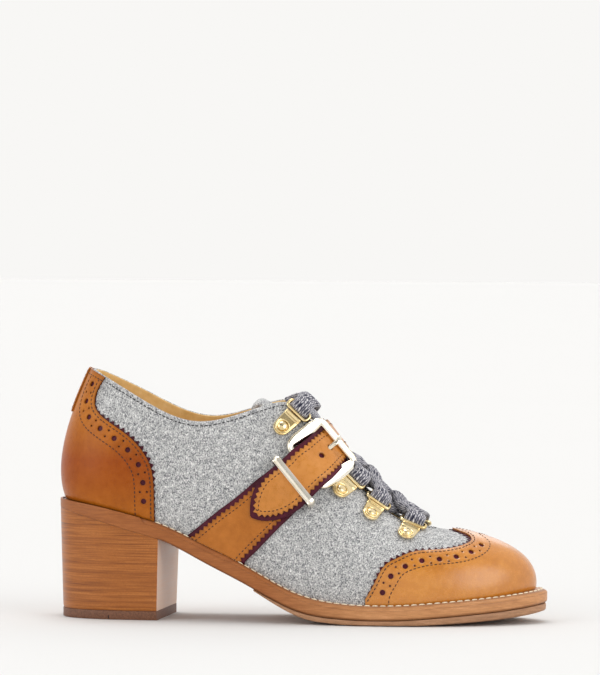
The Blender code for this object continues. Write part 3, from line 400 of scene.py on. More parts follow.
def crest_point(u, v, lift):
    """A point on the bridge over the throat, from the lateral edge (v = 0) to the medial one (v = 1)."""
    u, v = matched(u, v)
    one = np.ones_like(u)
    lateral = on_upper(u, one, lift)
    medial = on_upper(-u, one, lift)
    reach = CREST_REACH * np.linalg.norm(medial - lateral, axis=-1, keepdims=True)
    lateral_in = lateral + reach * unit(upper_point(u, one) - upper_point(u, one - EDGE_STEP))
    medial_in = medial + reach * unit(upper_point(-u, one) - upper_point(-u, one - EDGE_STEP))
    return led_curve(lateral, lateral_in, medial_in, medial, v)


def band_place(a, c):
    """Station and share at a place along the strap band, c = 0 at its rear edge and 1 at its front."""
    u = (1.0 - c) * band_edges["rear_station"](a) + c * band_edges["front_station"](a)
    t = (1.0 - c) * band_edges["rear_share"](a) + c * band_edges["front_share"](a)
    return u, np.clip(t, 0.0, 1.0)


def on_band(a, c, lift, side=1.0):
    """A point over the strap band; places past the throat edge lie on the bridge over the throat."""
    a, c = matched(a, c)
    u, t = band_place(np.minimum(a, BAND_END), c)
    over = crest_point(u, np.maximum(a - BAND_END, 0.0) / BRIDGE_PLACES, lift)
    return np.where((a > BAND_END)[..., None], over, on_upper(side * u, t, lift))


def sole_point(u, inset, height):
    """A point of the sole's outline, moved in by an inset, at a height given as a function of x."""
    nx, ny = plan_normal(sole_x, sole_y, u)
    x = sole_x(u) - inset * nx
    y = sole_y(u) - inset * ny
    return np.stack([x, y, height(x) * np.ones_like(x)], -1)


# The part's outsole has points at these stations; its box tells where the shoe stands in the frame
BACK_STATION = 0.12
OUTSOLE_STATIONS = np.concatenate([[BACK_STATION], np.arange(0.5, TOE, 0.5), [TOE - BACK_STATION]])
outsole_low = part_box("outsole")[0]
SHIFT = np.array([
    outsole_low.x / MM - sole_x(OUTSOLE_STATIONS).min(),
    outsole_low.y / MM - sole_y(OUTSOLE_STATIONS).min(),
    0.0,
])


class Finish:
    """A procedural material, with short calls for the nodes that it uses. Lengths are in millimetres."""

    def __init__(self, name, roughness, **sockets):
        self.material = bpy.data.materials.new(name)
        self.material.use_nodes = True
        self.tree = self.material.node_tree
        self.shader = self.tree.nodes["Principled BSDF"]
        self.shader.inputs["Roughness"].default_value = roughness
        for socket, value in sockets.items():
            self.shader.inputs[socket.replace("_", " ").title().replace("Ior", "IOR")].default_value = value

    def node(self, kind, **settings):
        made = self.tree.nodes.new(kind)
        for setting, value in settings.items():
            setattr(made, setting, value)
        return made

    def join(self, source, target):
        """Links an output to an input, or sets the input to a plain value."""
        if isinstance(source, bpy.types.NodeSocket):
            self.tree.links.new(source, target)
        else:
            target.default_value = source

    def place(self, stretch=(1.0, 1.0, 1.0)):
        """Places on the object in millimetres, stretched along the axes."""
        coordinates = self.node("ShaderNodeTexCoord")
        mapping = self.node("ShaderNodeMapping")
        mapping.inputs["Scale"].default_value = [part / MM for part in stretch]
        self.join(coordinates.outputs["Object"], mapping.inputs["Vector"])
        return mapping.outputs["Vector"]

    def noise(self, place, size, detail=3.0, roughness=0.5):
        """Noise from 0 to 1 with features of about a size."""
        made = self.node("ShaderNodeTexNoise")
        made.inputs["Scale"].default_value = 1.0 / size
        made.inputs["Detail"].default_value = detail
        made.inputs["Roughness"].default_value = roughness
        self.join(place, made.inputs["Vector"])
        return made.outputs["Fac"]

    def cells(self, place, size):
        """Distance from the middles of cells of about a size."""
        made = self.node("ShaderNodeTexVoronoi")
        made.inputs["Scale"].default_value = 1.0 / size
        self.join(place, made.inputs["Vector"])
        return made.outputs["Distance"]

    def value(self, name):
        """A number kept on the mesh's points."""
        return self.node("ShaderNodeAttribute", attribute_name=name).outputs["Fac"]

    def along(self, axis, low, high):
        """0 to 1 between two places on an axis of the part's frame."""
        coordinates = self.node("ShaderNodeTexCoord")
        parts = self.node("ShaderNodeSeparateXYZ")
        span = self.node("ShaderNodeMapRange")
        span.inputs["From Min"].default_value = low * MM
        span.inputs["From Max"].default_value = high * MM
        self.join(coordinates.outputs["Object"], parts.inputs["Vector"])
        self.join(parts.outputs[axis], span.inputs["Value"])
        return span.outputs["Result"]

    def sum(self, first, second, share):
        """A blend of two numbers."""
        made = self.node("ShaderNodeMix")
        made.inputs[0].default_value = share
        self.join(first, made.inputs[2])
        self.join(second, made.inputs[3])
        return made.outputs[0]

    def ramp(self, value, *stops):
        """A colour or grey that runs through stops of (place, colour)."""
        made = self.node("ShaderNodeValToRGB")
        while len(made.color_ramp.elements) < len(stops):
            made.color_ramp.elements.new(0.5)
        for element, (place, colour) in zip(made.color_ramp.elements, stops):
            element.position = place
            element.color = (*colour, 1.0) if isinstance(colour, tuple) else (colour, colour, colour, 1.0)
        self.join(value, made.inputs["Fac"])
        return made.outputs["Color"]

    def tint(self, share, first, second, blend="MIX"):
        """A mix of two colours by a share."""
        made = self.node("ShaderNodeMix", data_type="RGBA", blend_type=blend)
        self.join(share, made.inputs["Factor"])
        for colour, socket in ((first, made.inputs[6]), (second, made.inputs[7])):
            self.join((*colour, 1.0) if isinstance(colour, tuple) else colour, socket)
        return made.outputs[2]

    def colour(self, source):
        self.join(source, self.shader.inputs["Base Color"])

    def rough(self, source):
        self.join(source, self.shader.inputs["Roughness"])

    def bump(self, height, depth, below=None):
        """Relief of a depth, over another relief where one is given."""
        made = self.node("ShaderNodeBump")
        made.inputs["Strength"].default_value = 1.0
        made.inputs["Distance"].default_value = depth * MM
        self.join(height, made.inputs["Height"])
        if below:
            self.join(below, made.inputs["Normal"])
        self.join(made.outputs["Normal"], self.shader.inputs["Normal"])
        return made.outputs["Normal"]


# Colours of the felt's fibres and of the lace's yarn, from dark to light: place on the ramp, colour
FELT_STOPS = ((0.37, (0.06, 0.06, 0.068)), (0.44, (0.22, 0.223, 0.232)), (0.5, (0.44, 0.44, 0.437)),
              (0.56, (0.66, 0.655, 0.64)), (0.63, (0.92, 0.91, 0.89)))
YARN_STOPS = ((0.22, (0.014, 0.016, 0.034)), (0.36, (0.08, 0.08, 0.11)), (0.52, (0.26, 0.255, 0.29)),
              (0.68, (0.62, 0.6, 0.62)), (0.82, (0.86, 0.85, 0.84)))
# The counter is darker in a band between two heights over the floor: the two heights, then place on the ramp
# and strength
DARK_BAND_FROM_Z = 54.0
DARK_BAND_TO_Z = 108.0
DARK_BAND_STOPS = ((0.0, 0.35), (0.25, 0.75), (0.45, 0.9), (0.65, 0.45), (0.95, 0.0))
# The outsole's edge is painted paler from the waist on towards the toe, as painted light on the forepart,
# between two x places of the part's frame
PAINTED_LIGHT_FROM_X = -15.0
PAINTED_LIGHT_TO_X = 35.0
# Places on the ramp of the five colours of a streaked edge
STREAK_PLACES = (0.3, 0.42, 0.5, 0.58, 0.7)


def felt_finish():
    """Grey wool felt: a melange of dark and light fibres."""
    made = Finish("grey_felt", 1.0, sheen_weight=0.2, sheen_roughness=0.6, specular_ior_level=0.1)
    fibre = made.noise(made.place((1.0, 1.0, 1.5)), 0.74, 3.0, 0.7)
    slanted = made.noise(made.place((1.7, 1.0, 0.8)), 0.82, 2.0, 0.6)
    clump = made.noise(made.place(), 2.4, 2.0)
    mixed = made.sum(made.sum(fibre, slanted, 0.45), clump, 0.14)
    made.colour(made.ramp(mixed, *FELT_STOPS))
    made.bump(fibre, 0.22, made.bump(clump, 0.3))
    return made.material


def leather_finish(name, dark, middle, light, gloss=0.36, coat=0.08, shine=0.5, band_colour=None):
    """Smooth dyed leather: clouded colour, burnished cut edges and a fine grain. A given colour darkens it in
    a band between two heights over the floor.
    """
    made = Finish(name, gloss, coat_weight=coat, coat_roughness=0.28, specular_ior_level=shine)
    place = made.place()
    cloud = made.noise(place, 22.0, 3.0)
    mottle = made.noise(place, 3.4, 4.0, 0.6)
    tone = made.ramp(made.sum(cloud, mottle, 0.4), (0.36, dark), (0.5, middle), (0.64, light))
    if band_colour:
        # Darker in a band between two heights over the floor, by a given colour
        dark_band = made.ramp(made.along("Z", DARK_BAND_FROM_Z, DARK_BAND_TO_Z), *DARK_BAND_STOPS)
        tone = made.tint(dark_band, tone, band_colour, "MULTIPLY")
    burnish = made.ramp(made.value("edge"), (0.0, 0.5), (0.5, 0.12), (1.0, 0.0))
    edge = tuple(0.5 * part for part in dark)
    made.colour(made.tint(burnish, tone, edge))
    grain = made.cells(place, 0.62)
    pore = made.noise(place, 0.3, 2.0)
    made.rough(made.ramp(made.sum(mottle, pore, 0.5), (0.3, gloss - 0.08), (0.7, gloss + 0.1)))
    made.bump(grain, 0.05, made.bump(pore, 0.03, made.bump(cloud, 0.25)))
    return made.material


def streaked_finish(name, stretch, line, colours, gloss, line_depth, front=None, fore=None):
    """Cut edges of stacked leather: thin layers that run one way. The front face and the forepart may be
    painted paler, as painted light.
    """
    made = Finish(name, gloss, coat_weight=0.05, coat_roughness=0.3, specular_ior_level=0.35)
    streak = made.noise(made.place(stretch), line, 4.0, 0.65)
    broad = made.noise(made.place(stretch), 4.0 * line, 2.0)
    pore = made.noise(made.place(), 0.5, 3.0)
    tone = made.ramp(made.sum(streak, broad, 0.35), *zip(STREAK_PLACES, colours))
    tone = made.tint(made.ramp(pore, (0.35, 0.3), (0.6, 0.0)), tone, colours[0])
    if front:
        # Painted light: faces that look towards the toe, as the heel's breast does, are painted paler
        painted_light_facing = made.node("ShaderNodeSeparateXYZ")
        made.join(made.node("ShaderNodeNewGeometry").outputs["True Normal"], painted_light_facing.inputs["Vector"])
        tone = made.tint(made.ramp(painted_light_facing.outputs["X"], (0.7, 0.0), (0.85, 0.8)), tone, front)
    # Painted light: the forepart of the edge is painted paler than the waist
    if fore:
        share = made.ramp(made.along("X", PAINTED_LIGHT_FROM_X, PAINTED_LIGHT_TO_X), (0.0, 0.0), (1.0, 1.0))
        tone = made.tint(share, tone, made.tint(1.0, tone, fore, "MULTIPLY"))
    burnish = made.ramp(made.value("edge"), (0.0, 0.6), (1.0, 0.0))
    made.colour(made.tint(burnish, tone, tuple(0.5 * part for part in colours[0])))
    made.rough(made.ramp(streak, (0.3, gloss - 0.08), (0.7, gloss + 0.12)))
    made.bump(streak, line_depth, made.bump(pore, 0.04))
    return made.material


def metal_finish(name, dark, light):
    """Polished metal with faint wear."""
    made = Finish(name, 0.12, metallic=1.0)
    place = made.place()
    wear = made.noise(place, 1.2, 4.0, 0.7)
    made.colour(made.ramp(made.noise(place, 9.0, 2.0), (0.35, dark), (0.65, light)))
    made.rough(made.ramp(wear, (0.35, 0.1), (0.65, 0.16)))
    made.bump(made.noise(place, 6.0, 1.0), 0.004)
    return made.material


def lace_finish():
    """Braided wool yarn in grey, white and navy, painted darker between its strands as painted shade."""
    made = Finish("melange_yarn", 0.95, sheen_weight=0.2, sheen_roughness=0.5, specular_ior_level=0.15)
    hair = made.noise(made.place(), 0.35, 3.0, 0.7)
    tone = made.sum(made.value("yarn_and_gap_shade"), hair, 0.35)
    made.colour(made.ramp(tone, *YARN_STOPS))
    made.bump(hair, 0.15)
    return made.material


def plain_finish(name, dark, light, size, gloss, depth, **sockets):
    """A surface with two close tones, as of thread or rubber."""
    made = Finish(name, gloss, **sockets)
    grain = made.noise(made.place(), size, 4.0, 0.6)
    made.colour(made.ramp(grain, (0.36, dark), (0.64, light)))
    made.bump(grain, depth)
    return made.material


FINISHES = {
    "felt": felt_finish(),
    "cap_tan": leather_finish(
        "toe_cap_tan", (0.51, 0.17, 0.01), (0.58, 0.205, 0.014), (0.65, 0.25, 0.024), 0.24, 0.4, 0.65),
    "counter_tan": leather_finish(
        "counter_tan", (0.42, 0.125, 0.008), (0.49, 0.155, 0.011), (0.56, 0.19, 0.018), 0.32, 0.04, 0.18,
        band_colour=(0.58, 0.31, 0.06)),
    "strap_tan": leather_finish(
        "strap_tan", (0.5, 0.18, 0.022), (0.58, 0.215, 0.032), (0.65, 0.26, 0.05), 0.3, 0.1, 0.4),
    "base_tan": leather_finish(
        "base_tan", (0.37, 0.11, 0.009), (0.44, 0.138, 0.013), (0.51, 0.165, 0.02), 0.36, 0.04, 0.3),
    "burgundy": leather_finish(
        "burgundy", (0.055, 0.004, 0.013), (0.085, 0.008, 0.021), (0.12, 0.014, 0.032), 0.34, 0.03, 0.2),
    "lining": leather_finish(
        "honey_lining", (0.72, 0.44, 0.15), (0.84, 0.55, 0.21), (0.9, 0.64, 0.3), 0.5, 0.0),
    # The outsole's forepart edge is painted paler: painted light
    "outsole": streaked_finish(
        "outsole_edge", (0.1, 0.1, 1.0), 0.6,
        ((0.27, 0.08, 0.016), (0.31, 0.094, 0.019), (0.35, 0.11, 0.023), (0.39, 0.126, 0.028),
         (0.44, 0.15, 0.037)),
        0.42, 0.05, fore=(1.58, 2.3, 4.2)),
    "half_sole": streaked_finish(
        "half_sole_edge", (0.12, 0.12, 1.0), 0.8,
        ((0.27, 0.125, 0.06), (0.35, 0.175, 0.085), (0.42, 0.215, 0.108), (0.48, 0.255, 0.135),
         (0.56, 0.32, 0.18)),
        0.5, 0.06),
    # The heel's breast is painted paler where it faces the toe: painted light
    "heel": streaked_finish(
        "stacked_heel", (0.018, 0.018, 1.0), 0.42,
        ((0.16, 0.044, 0.007), (0.29, 0.085, 0.013), (0.39, 0.122, 0.02), (0.46, 0.155, 0.029),
         (0.56, 0.21, 0.05)),
        0.36, 0.05, front=(0.85, 0.58, 0.42)),
    "lift": plain_finish("lift_rubber", (0.12, 0.044, 0.02), (0.22, 0.09, 0.043), 0.8, 0.55, 0.05),
    "insole": leather_finish(
        "insole_leather", (0.6, 0.37, 0.14), (0.72, 0.46, 0.18), (0.8, 0.55, 0.25), 0.5, 0.0),
    "gold": metal_finish("hook_gold", (0.82, 0.61, 0.28), (0.93, 0.77, 0.46)),
    # The buckle's and keeper's metal is paler than the hooks' gold. Part of that paleness is a painted
    # reflection, standing for the white glare on the rails
    "pale_gold_and_glare": metal_finish("buckle_pale_gold_and_glare", (0.92, 0.84, 0.68), (0.98, 0.93, 0.82)),
    "lace": lace_finish(),
    "dark_thread": plain_finish("dark_thread", (0.03, 0.01, 0.004), (0.075, 0.026, 0.01), 0.3, 0.7, 0.05),
    "grey_thread": plain_finish("grey_thread", (0.018, 0.017, 0.02), (0.06, 0.058, 0.062), 0.3, 0.8, 0.05),
    "cream_thread": plain_finish("cream_thread", (0.72, 0.58, 0.38), (0.95, 0.86, 0.68), 0.3, 0.7, 0.05),
    # Near black for the dash on the lift: painted shade standing for a notch
    "hole": plain_finish("notch_painted_shade", (0.012, 0.006, 0.005), (0.03, 0.015, 0.01), 0.5, 0.8, 0.03),
}


def make_piece(name, points, faces, finish, replaces=(), slot=None, sharp=42.0, values=None):
    """A closed mesh from points in millimetres that rides on the shoe, with numbers for its finish."""
    mesh = bpy.data.meshes.new(name)
    mesh.from_pydata(((np.asarray(points) + SHIFT) * MM).tolist(), [], faces)
    shape = bmesh.new()
    shape.from_mesh(mesh)
    bmesh.ops.recalc_face_normals(shape, faces=shape.faces)
    shape.to_mesh(mesh)
    shape.free()
    mesh.shade_smooth()
    mesh.set_sharp_from_angle(angle=math.radians(sharp))
    kept = {"edge": np.ones(len(points))} if values is None else values
    for key, numbers in kept.items():
        layer = mesh.attributes.new(key, "FLOAT", "POINT")
        layer.data.foreach_set("value", np.asarray(numbers, np.float32))
    mesh.materials.append(FINISHES[finish])
    made = bpy.data.objects.new(name, mesh)
    bpy.context.scene.collection.objects.link(made)
    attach(made, "root")
    if replaces:
        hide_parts(*replaces)
    return made


def grid_faces(rows, sides, round_trip):
    """Faces between closed rings of points. A round trip joins the last ring to the first."""
    i, j = np.meshgrid(np.arange(rows if round_trip else rows - 1), np.arange(sides), indexing="ij")
    n = (i + 1) % rows
    k = (j + 1) % sides
    corners = [i * sides + j, i * sides + k, n * sides + k, n * sides + j]
    return np.stack(corners, -1).reshape(-1, 4).tolist()


def loft(name, rings, finish, round_trip=False, **details):
    """A solid through closed rings of points, with flat ends unless it is a round trip."""
    rows, sides = rings.shape[:2]
    faces = grid_faces(rows, sides, round_trip)
    if not round_trip:
        faces.append(list(range(sides)))
        faces.append([(rows - 1) * sides + j for j in range(sides)])
    return make_piece(name, rings.reshape(-1, 3), faces, finish, **details)


def sweep_rings(path, across, section, widths=1.0, heights=1.0, closed=False):
    """Rings of a section of (across, up) points carried along a path, scaled at each of its points."""
    path = np.asarray(path, float)
    tangent = np.roll(path, -1, 0) - np.roll(path, 1, 0) if closed else np.gradient(path, axis=0)
    tangent = unit(tangent)
    across = np.broadcast_to(np.asarray(across, float), path.shape)
    across = unit(across - tangent * (across * tangent).sum(-1, keepdims=True))
    up = np.cross(across, tangent)
    wide = np.outer(widths * np.ones(len(path)), section[:, 0])[..., None]
    high = np.outer(heights * np.ones(len(path)), section[:, 1])[..., None]
    return path[:, None] + wide * across[:, None] + high * up[:, None]


def squircle(sides, power=2.0):
    """Points of a unit oval section, one across and one high; a higher power makes it squarer."""
    turn = np.arange(sides) * 2.0 * math.pi / sides
    plain = np.stack([np.cos(turn), np.sin(turn)], -1)
    return 0.5 * (np.sign(plain) * np.abs(plain) ** (2.0 / power))


def through(points, step):
    """A smooth curve through points, at even steps, and how far along each given point lies."""
    points = np.asarray(points, float)
    length = run_lengths(points)
    at = np.linspace(0.0, length[-1], max(8, int(length[-1] / step)))
    return np.stack([open_spline(length, points[:, k])(at) for k in range(points.shape[1])], -1), at, length


def rounded(corners, radius, steps):
    """A closed path through corners, each rounded, with points along its straight stretches."""
    corners = np.asarray(corners, float)
    path = []
    for before, corner, after in zip(np.roll(corners, 1, 0), corners, np.roll(corners, -1, 0)):
        start = corner + radius * unit(before - corner)
        end = corner + radius * unit(after - corner)
        for step in np.linspace(0.0, 1.0, steps):
            path.append((1 - step) ** 2 * start + 2 * step * (1 - step) * corner + step * step * end)
        last = after + radius * unit(corner - after)
        for step in np.linspace(0.0, 1.0, steps + 2)[1:-1]:
            path.append((1 - step) * end + step * last)
    return np.array(path)


# Flat drawing sheets: millimetres on the sheet for one station and share, and for one band place and share
UPPER_SHEET = np.array([11.0, 60.0])
STRAP_SHEET = np.array([16.5, 27.0])
STRAP_END = 2.0 * BAND_END + BRIDGE_PLACES


def on_leather(flat, lift):
    """The upper's outer face from its flat sheet."""
    return on_upper(flat[..., 0] / UPPER_SHEET[0], flat[..., 1] / UPPER_SHEET[1], lift)


def on_base(flat, lift):
    """The short strap's underside from its flat sheet."""
    a = flat[..., 0] / STRAP_SHEET[0]
    return on_band(a, flat[..., 1] / STRAP_SHEET[1], base_lift(a) + lift)


def on_billet(flat, lift):
    """The long strap's underside from its flat sheet: lateral side, bridge, then the medial side."""
    a = flat[..., 0] / STRAP_SHEET[0]
    c = flat[..., 1] / STRAP_SHEET[1]
    near = on_band(np.minimum(a, STRAP_END - BAND_END), c,
                   np.where(a < BAND_END, billet_lift(a), CREST_LIFT) + lift)
    back = np.clip(STRAP_END - a, 0.0, BAND_END)
    far = on_band(back, c, medial_lift(back) + lift, side=-1.0)
    return np.where((a > STRAP_END - BAND_END)[..., None], far, near)


def sheet_steps(place, flat, size=0.15):
    """How a point on the surface moves for a step along each axis of the flat sheet."""
    along = place(flat + [size, 0.0], 0.0) - place(flat - [size, 0.0], 0.0)
    across = place(flat + [0.0, size], 0.0) - place(flat - [0.0, size], 0.0)
    return along / (2.0 * size), across / (2.0 * size)


def sheet_move(place, flat, vector):
    """Sheet points moved so that they move by a vector along the surface."""
    a, b = sheet_steps(place, flat)
    aa = (a * a).sum(-1)
    bb = (b * b).sum(-1)
    ab = (a * b).sum(-1)
    av = (a * vector).sum(-1)
    bv = (b * vector).sum(-1)
    size = aa * bb - ab * ab
    return flat + np.stack([(bb * av - ab * bv) / size, (aa * bv - ab * av) / size], -1)


def even_path(place, flat, step):
    """A sheet path with points at even distances on the surface."""
    length = run_lengths(place(flat, 0.0))
    at = np.linspace(0.0, length[-1], max(2, int(round(length[-1] / step)) + 1))
    return at_lengths(at, length, flat)


def path_frame(place, flat):
    """Unit vectors along a sheet path, to its left on the surface, and out of the surface."""
    along = unit(np.gradient(place(flat, 0.0), axis=0))
    a, b = sheet_steps(place, flat)
    outward = unit(np.cross(a, b))
    return along, unit(np.cross(outward, along)), outward


def beside(place, flat, distance):
    """A sheet path moved to its left on the surface."""
    left = path_frame(place, flat)[1]
    return sheet_move(place, flat, np.asarray(distance, float)[..., None] * left)


def upper_sheet(station, share):
    """Points of the upper's flat sheet from stations and shares."""
    return np.stack(matched(station, share), -1) * UPPER_SHEET


def inside(points, loop):
    """Which flat points lie within a loop."""
    found = np.zeros(len(points), bool)
    x = points[:, 0]
    y = points[:, 1]
    for (ax, ay), (bx, by) in zip(loop, np.roll(loop, -1, 0)):
        if ay == by:
            continue
        crosses = ((ay > y) != (by > y)) & (x < ax + (y - ay) * (bx - ax) / (by - ay))
        found ^= crosses
    return found


def within(points, loops):
    """Which flat points lie within the first loop and outside the others."""
    found = inside(points, loops[0])
    for loop in loops[1:]:
        found &= ~inside(points, loop)
    return found


def nearest(points, others):
    """Distance from each flat point to the closest of some others."""
    return np.array([np.hypot(*(others - point).T).min() for point in points])


def hole_loop(place, centre, radius, sides):
    """The sheet outline of a round hole on the surface."""
    centre = np.asarray(centre, float)
    a, b = sheet_steps(place, centre)
    first = unit(a)
    second = unit(b - first * np.dot(b, first))
    turn = np.arange(sides) * 2.0 * math.pi / sides
    vectors = radius * (np.cos(turn)[:, None] * first + np.sin(turn)[:, None] * second)
    return sheet_move(place, np.repeat(centre[None], sides, 0), vectors)


# A layer's burnish reaches in from its edges, and its top falls at the rim
EDGE_REACH = 0.8
EDGE_FALL = 0.22
# Rings of points around each hole, and how close points may lie, as lengths or as a share of their spacing
HOLE_RINGS = (0.55, 1.2)
LEAST_NEAR_HOLE = 0.4
LEAST_SPACING = 0.45
ROW_SPACING = 0.87


def region(name, place, outline, holes, low, high, spacing, finish, fall=EDGE_FALL, **details):
    """A closed layer cut to an outline with holes, lying on a surface between two heights."""
    loops = [np.asarray(outline, float)] + [np.asarray(hole, float) for hole in holes]
    rim = np.concatenate(loops)
    near_holes = [np.zeros((0, 2))]
    for loop in loops[1:]:
        centre = loop.mean(0)
        radius = np.hypot(*(loop - centre).T).mean()
        near_holes += [centre + (1.0 + ring / radius) * (loop - centre) for ring in HOLE_RINGS]
    near_holes = np.concatenate(near_holes)
    box_low = loops[0].min(0)
    box_high = loops[0].max(0)
    rows = np.arange(box_low[1], box_high[1], spacing * ROW_SPACING)
    grid = []
    for number, y in enumerate(rows):
        x = np.arange(box_low[0] + 0.5 * spacing * (number % 2), box_high[0], spacing)
        grid.append(np.stack([x, np.full_like(x, y)], -1))
    grid = np.concatenate(grid)
    inner = []
    for points, least, clear in ((near_holes, LEAST_NEAR_HOLE, rim),
                                 (grid, LEAST_SPACING * spacing, np.concatenate([rim, near_holes]))):
        points = points[within(points, loops)]
        inner.append(points[nearest(points, clear) > least])
    edges = []
    start = 0
    for loop in loops:
        count = len(loop)
        edges += [(start + k, start + (k + 1) % count) for k in range(count)]
        start += count
    points = np.concatenate([rim, *inner])
    cut = delaunay_2d_cdt([Vector(point) for point in points], edges, [], 0, 1e-6)
    flat = np.array([list(point) for point in cut[0]])
    faces = np.array(cut[2])
    faces = faces[within(flat[faces].mean(1), loops)]
    count = len(flat)
    sides = np.concatenate([faces[:, [0, 1]], faces[:, [1, 2]], faces[:, [2, 0]]])
    sides = dict.fromkeys(map(tuple, sides.tolist()))
    walls = [(a, b) for (a, b) in sides if (b, a) not in sides]
    on_rim = np.zeros(count, bool)
    on_rim[[a for a, b in walls]] = True
    far = nearest(flat, rim)
    top = place(flat, np.where(on_rim, high - fall, high))
    bottom = place(flat, np.full(count, low))
    used = np.zeros(count, bool)
    used[faces.ravel()] = True
    number = np.cumsum(used) - 1
    total = int(used.sum())
    faces = number[faces]
    all_faces = faces.tolist() + (faces[:, ::-1] + total).tolist()
    all_faces += [[number[b], number[a], number[a] + total, number[b] + total] for a, b in walls]
    edge = np.clip(far[used] / EDGE_REACH, 0.0, 1.0)
    return make_piece(name, np.concatenate([top[used], bottom[used]]), all_faces, finish,
                      values={"edge": np.concatenate([edge, edge * 0.0])}, **details)


def pinked(place, flat, depth, pitch):
    """A toothed path: points on the given path and, half a pitch on, teeth that stand out to its left."""
    path = even_path(place, flat, 0.5 * pitch)
    teeth = np.where(np.arange(len(path)) % 2 == 1, 1.0, 0.0)
    depth = np.interp(np.linspace(0.0, 1.0, len(path)), np.linspace(0.0, 1.0, len(depth)), depth)
    return beside(place, path, depth * teeth)


CAPSULE_PLACES = (-1.0, -0.7, 0.0, 0.7, 1.0)
CAPSULE_SIZES = (0.25, 0.8, 1.0, 0.8, 0.25)
CAPSULE_SIDES = 6


def capsules(name, centres, along, outward, length, width, height, finish, **details):
    """Many short rounded threads as one piece."""
    across = np.cross(along, outward)
    turn = np.arange(CAPSULE_SIDES) * 2.0 * math.pi / CAPSULE_SIDES
    rings = []
    for share, size in zip(CAPSULE_PLACES, CAPSULE_SIZES):
        middle = centres + 0.5 * length * share * along
        ring = (middle[:, None] + 0.5 * width * size * np.cos(turn)[None, :, None] * across[:, None]
                + 0.5 * height * size * np.sin(turn)[None, :, None] * outward[:, None])
        rings.append(ring)
    points = np.stack(rings, 1).reshape(len(centres), -1, 3)
    pattern = grid_faces(len(CAPSULE_PLACES), CAPSULE_SIDES, False)
    last = (len(CAPSULE_PLACES) - 1) * CAPSULE_SIDES
    pattern += [list(range(CAPSULE_SIDES)), [last + k for k in range(CAPSULE_SIDES)]]
    step = points.shape[1]
    faces = [[corner + step * k for corner in face] for k in range(len(centres)) for face in pattern]
    return make_piece(name, points.reshape(-1, 3), faces, finish, **details)


STITCH_LENGTH = 1.5
STITCH_PITCH = 2.1
STITCH_WIDTH = 0.55
STITCH_HEIGHT = 0.5
STITCH_SINK = 0.02


def stitches(name, place, paths, lift, finish, pitch=STITCH_PITCH, length=STITCH_LENGTH, width=STITCH_WIDTH,
             height=STITCH_HEIGHT):
    """Rows of stitches along sheet paths, sunk a little into what they hold."""
    centres = []
    alongs = []
    outs = []
    for path in paths:
        path = even_path(place, path, pitch)
        along, _, outward = path_frame(place, path)
        centres.append(place(path, lift))
        alongs.append(along)
        outs.append(outward)
    return capsules(name, np.concatenate(centres), np.concatenate(alongs), np.concatenate(outs),
                    length, width, height, finish)


LOOP_POINTS = 280
LOOP = (np.arange(LOOP_POINTS) + 0.5) * 2.0 * TOE / LOOP_POINTS


def stack(name, levels, finish, **details):
    """A solid through loops, one over the other, closed at its ends by strips from side to side."""
    rings = np.stack(levels)
    rows, sides = rings.shape[:2]
    faces = grid_faces(rows, sides, False)
    for start in (0, (rows - 1) * sides):
        for i in range(sides // 2 - 1):
            faces.append([start + i, start + i + 1, start + sides - 2 - i, start + sides - 1 - i])
    return make_piece(name, rings.reshape(-1, 3), faces, finish, **details)


def station_at(x):
    """The sole station at a distance from the heel back."""
    fine = np.linspace(0.0, TOE, 4001)
    return float(np.interp(x, sole_x(fine), fine))


def length_share(curve_x, curve_y, side):
    """How far along one side of a loop each of many stations lies, from heel to toe, from 0 to 1."""
    fine = np.linspace(0.0, TOE, 2001)
    length = run_lengths(np.stack([curve_x(side * fine), curve_y(side * fine)], -1))
    return fine, length / length[-1]


def seat_point(u, inset, height):
    """Points inside the upper's foot that match stations of the sole."""
    found = np.zeros_like(u)
    for side, chosen in ((1.0, u <= TOE), (-1.0, u > TOE)):
        station = np.where(u > TOE, 2.0 * TOE - u, u)
        sole_fine, sole_share = length_share(sole_x, sole_y, side)
        foot_fine, foot_share = length_share(foot_x, foot_y, side)
        share = np.interp(station, sole_fine, sole_share)
        found = np.where(chosen, side * np.interp(share, foot_share, foot_fine), found)
    nx, ny = plan_normal(foot_x, foot_y, found)
    x = foot_x(found) - inset * nx
    y = foot_y(found) - inset * ny
    return np.stack([x, y, height(x)], -1)


# The half sole's edge from its tread up: how far in, share of its thickness, height of the rounded tread
HALF_SOLE_EDGE = ((9.0, 0.0, 0.0), (5.0, 0.0, 0.06), (2.2, 0.0, 0.2), (0.8, 0.0, 0.4), (0.25, 0.03, 0.6),
                  (0.1, 0.3, 0.5), (0.1, 0.7, 0.2), (0.3, 0.93, 0.05), (0.9, 1.0, 0.0))
# The half sole's thickness at its rear and where it is full, and how much it grows towards the toe
HALF_SOLE_DEPTH = ((HALF_SOLE_REAR_X, HALF_SOLE_REAR_THICKNESS), (HALF_SOLE_FULL_X, HALF_SOLE_THICKNESS))
HALF_SOLE_GROWTH = ((165.0, 0.0), (185.0, 0.5), (205.0, 1.1), (225.0, 1.4), (243.0, 1.3))
HALF_SOLE_GROWTH_REACH = 8.0
SEAM = 0.1
# Gaps from the outsole to the welt over it, and from its edge around the heel seat to the welt's top level
WELT_SEAM = 0.04
SEAT_BELOW_WELT = 0.1


def outsole_top(x):
    return welt_top(x) - WELT_THICKNESS - WELT_SEAM


def half_sole_bottom(x):
    depth = np.interp(x, *zip(*HALF_SOLE_DEPTH))
    growth = soft_table(HALF_SOLE_GROWTH, HALF_SOLE_GROWTH_REACH)(x)
    return np.maximum(outsole_bottom(x) - depth - growth, 0.0)


def raised(height, step):
    """A height function moved up by a step."""
    return lambda x: height(x) + step


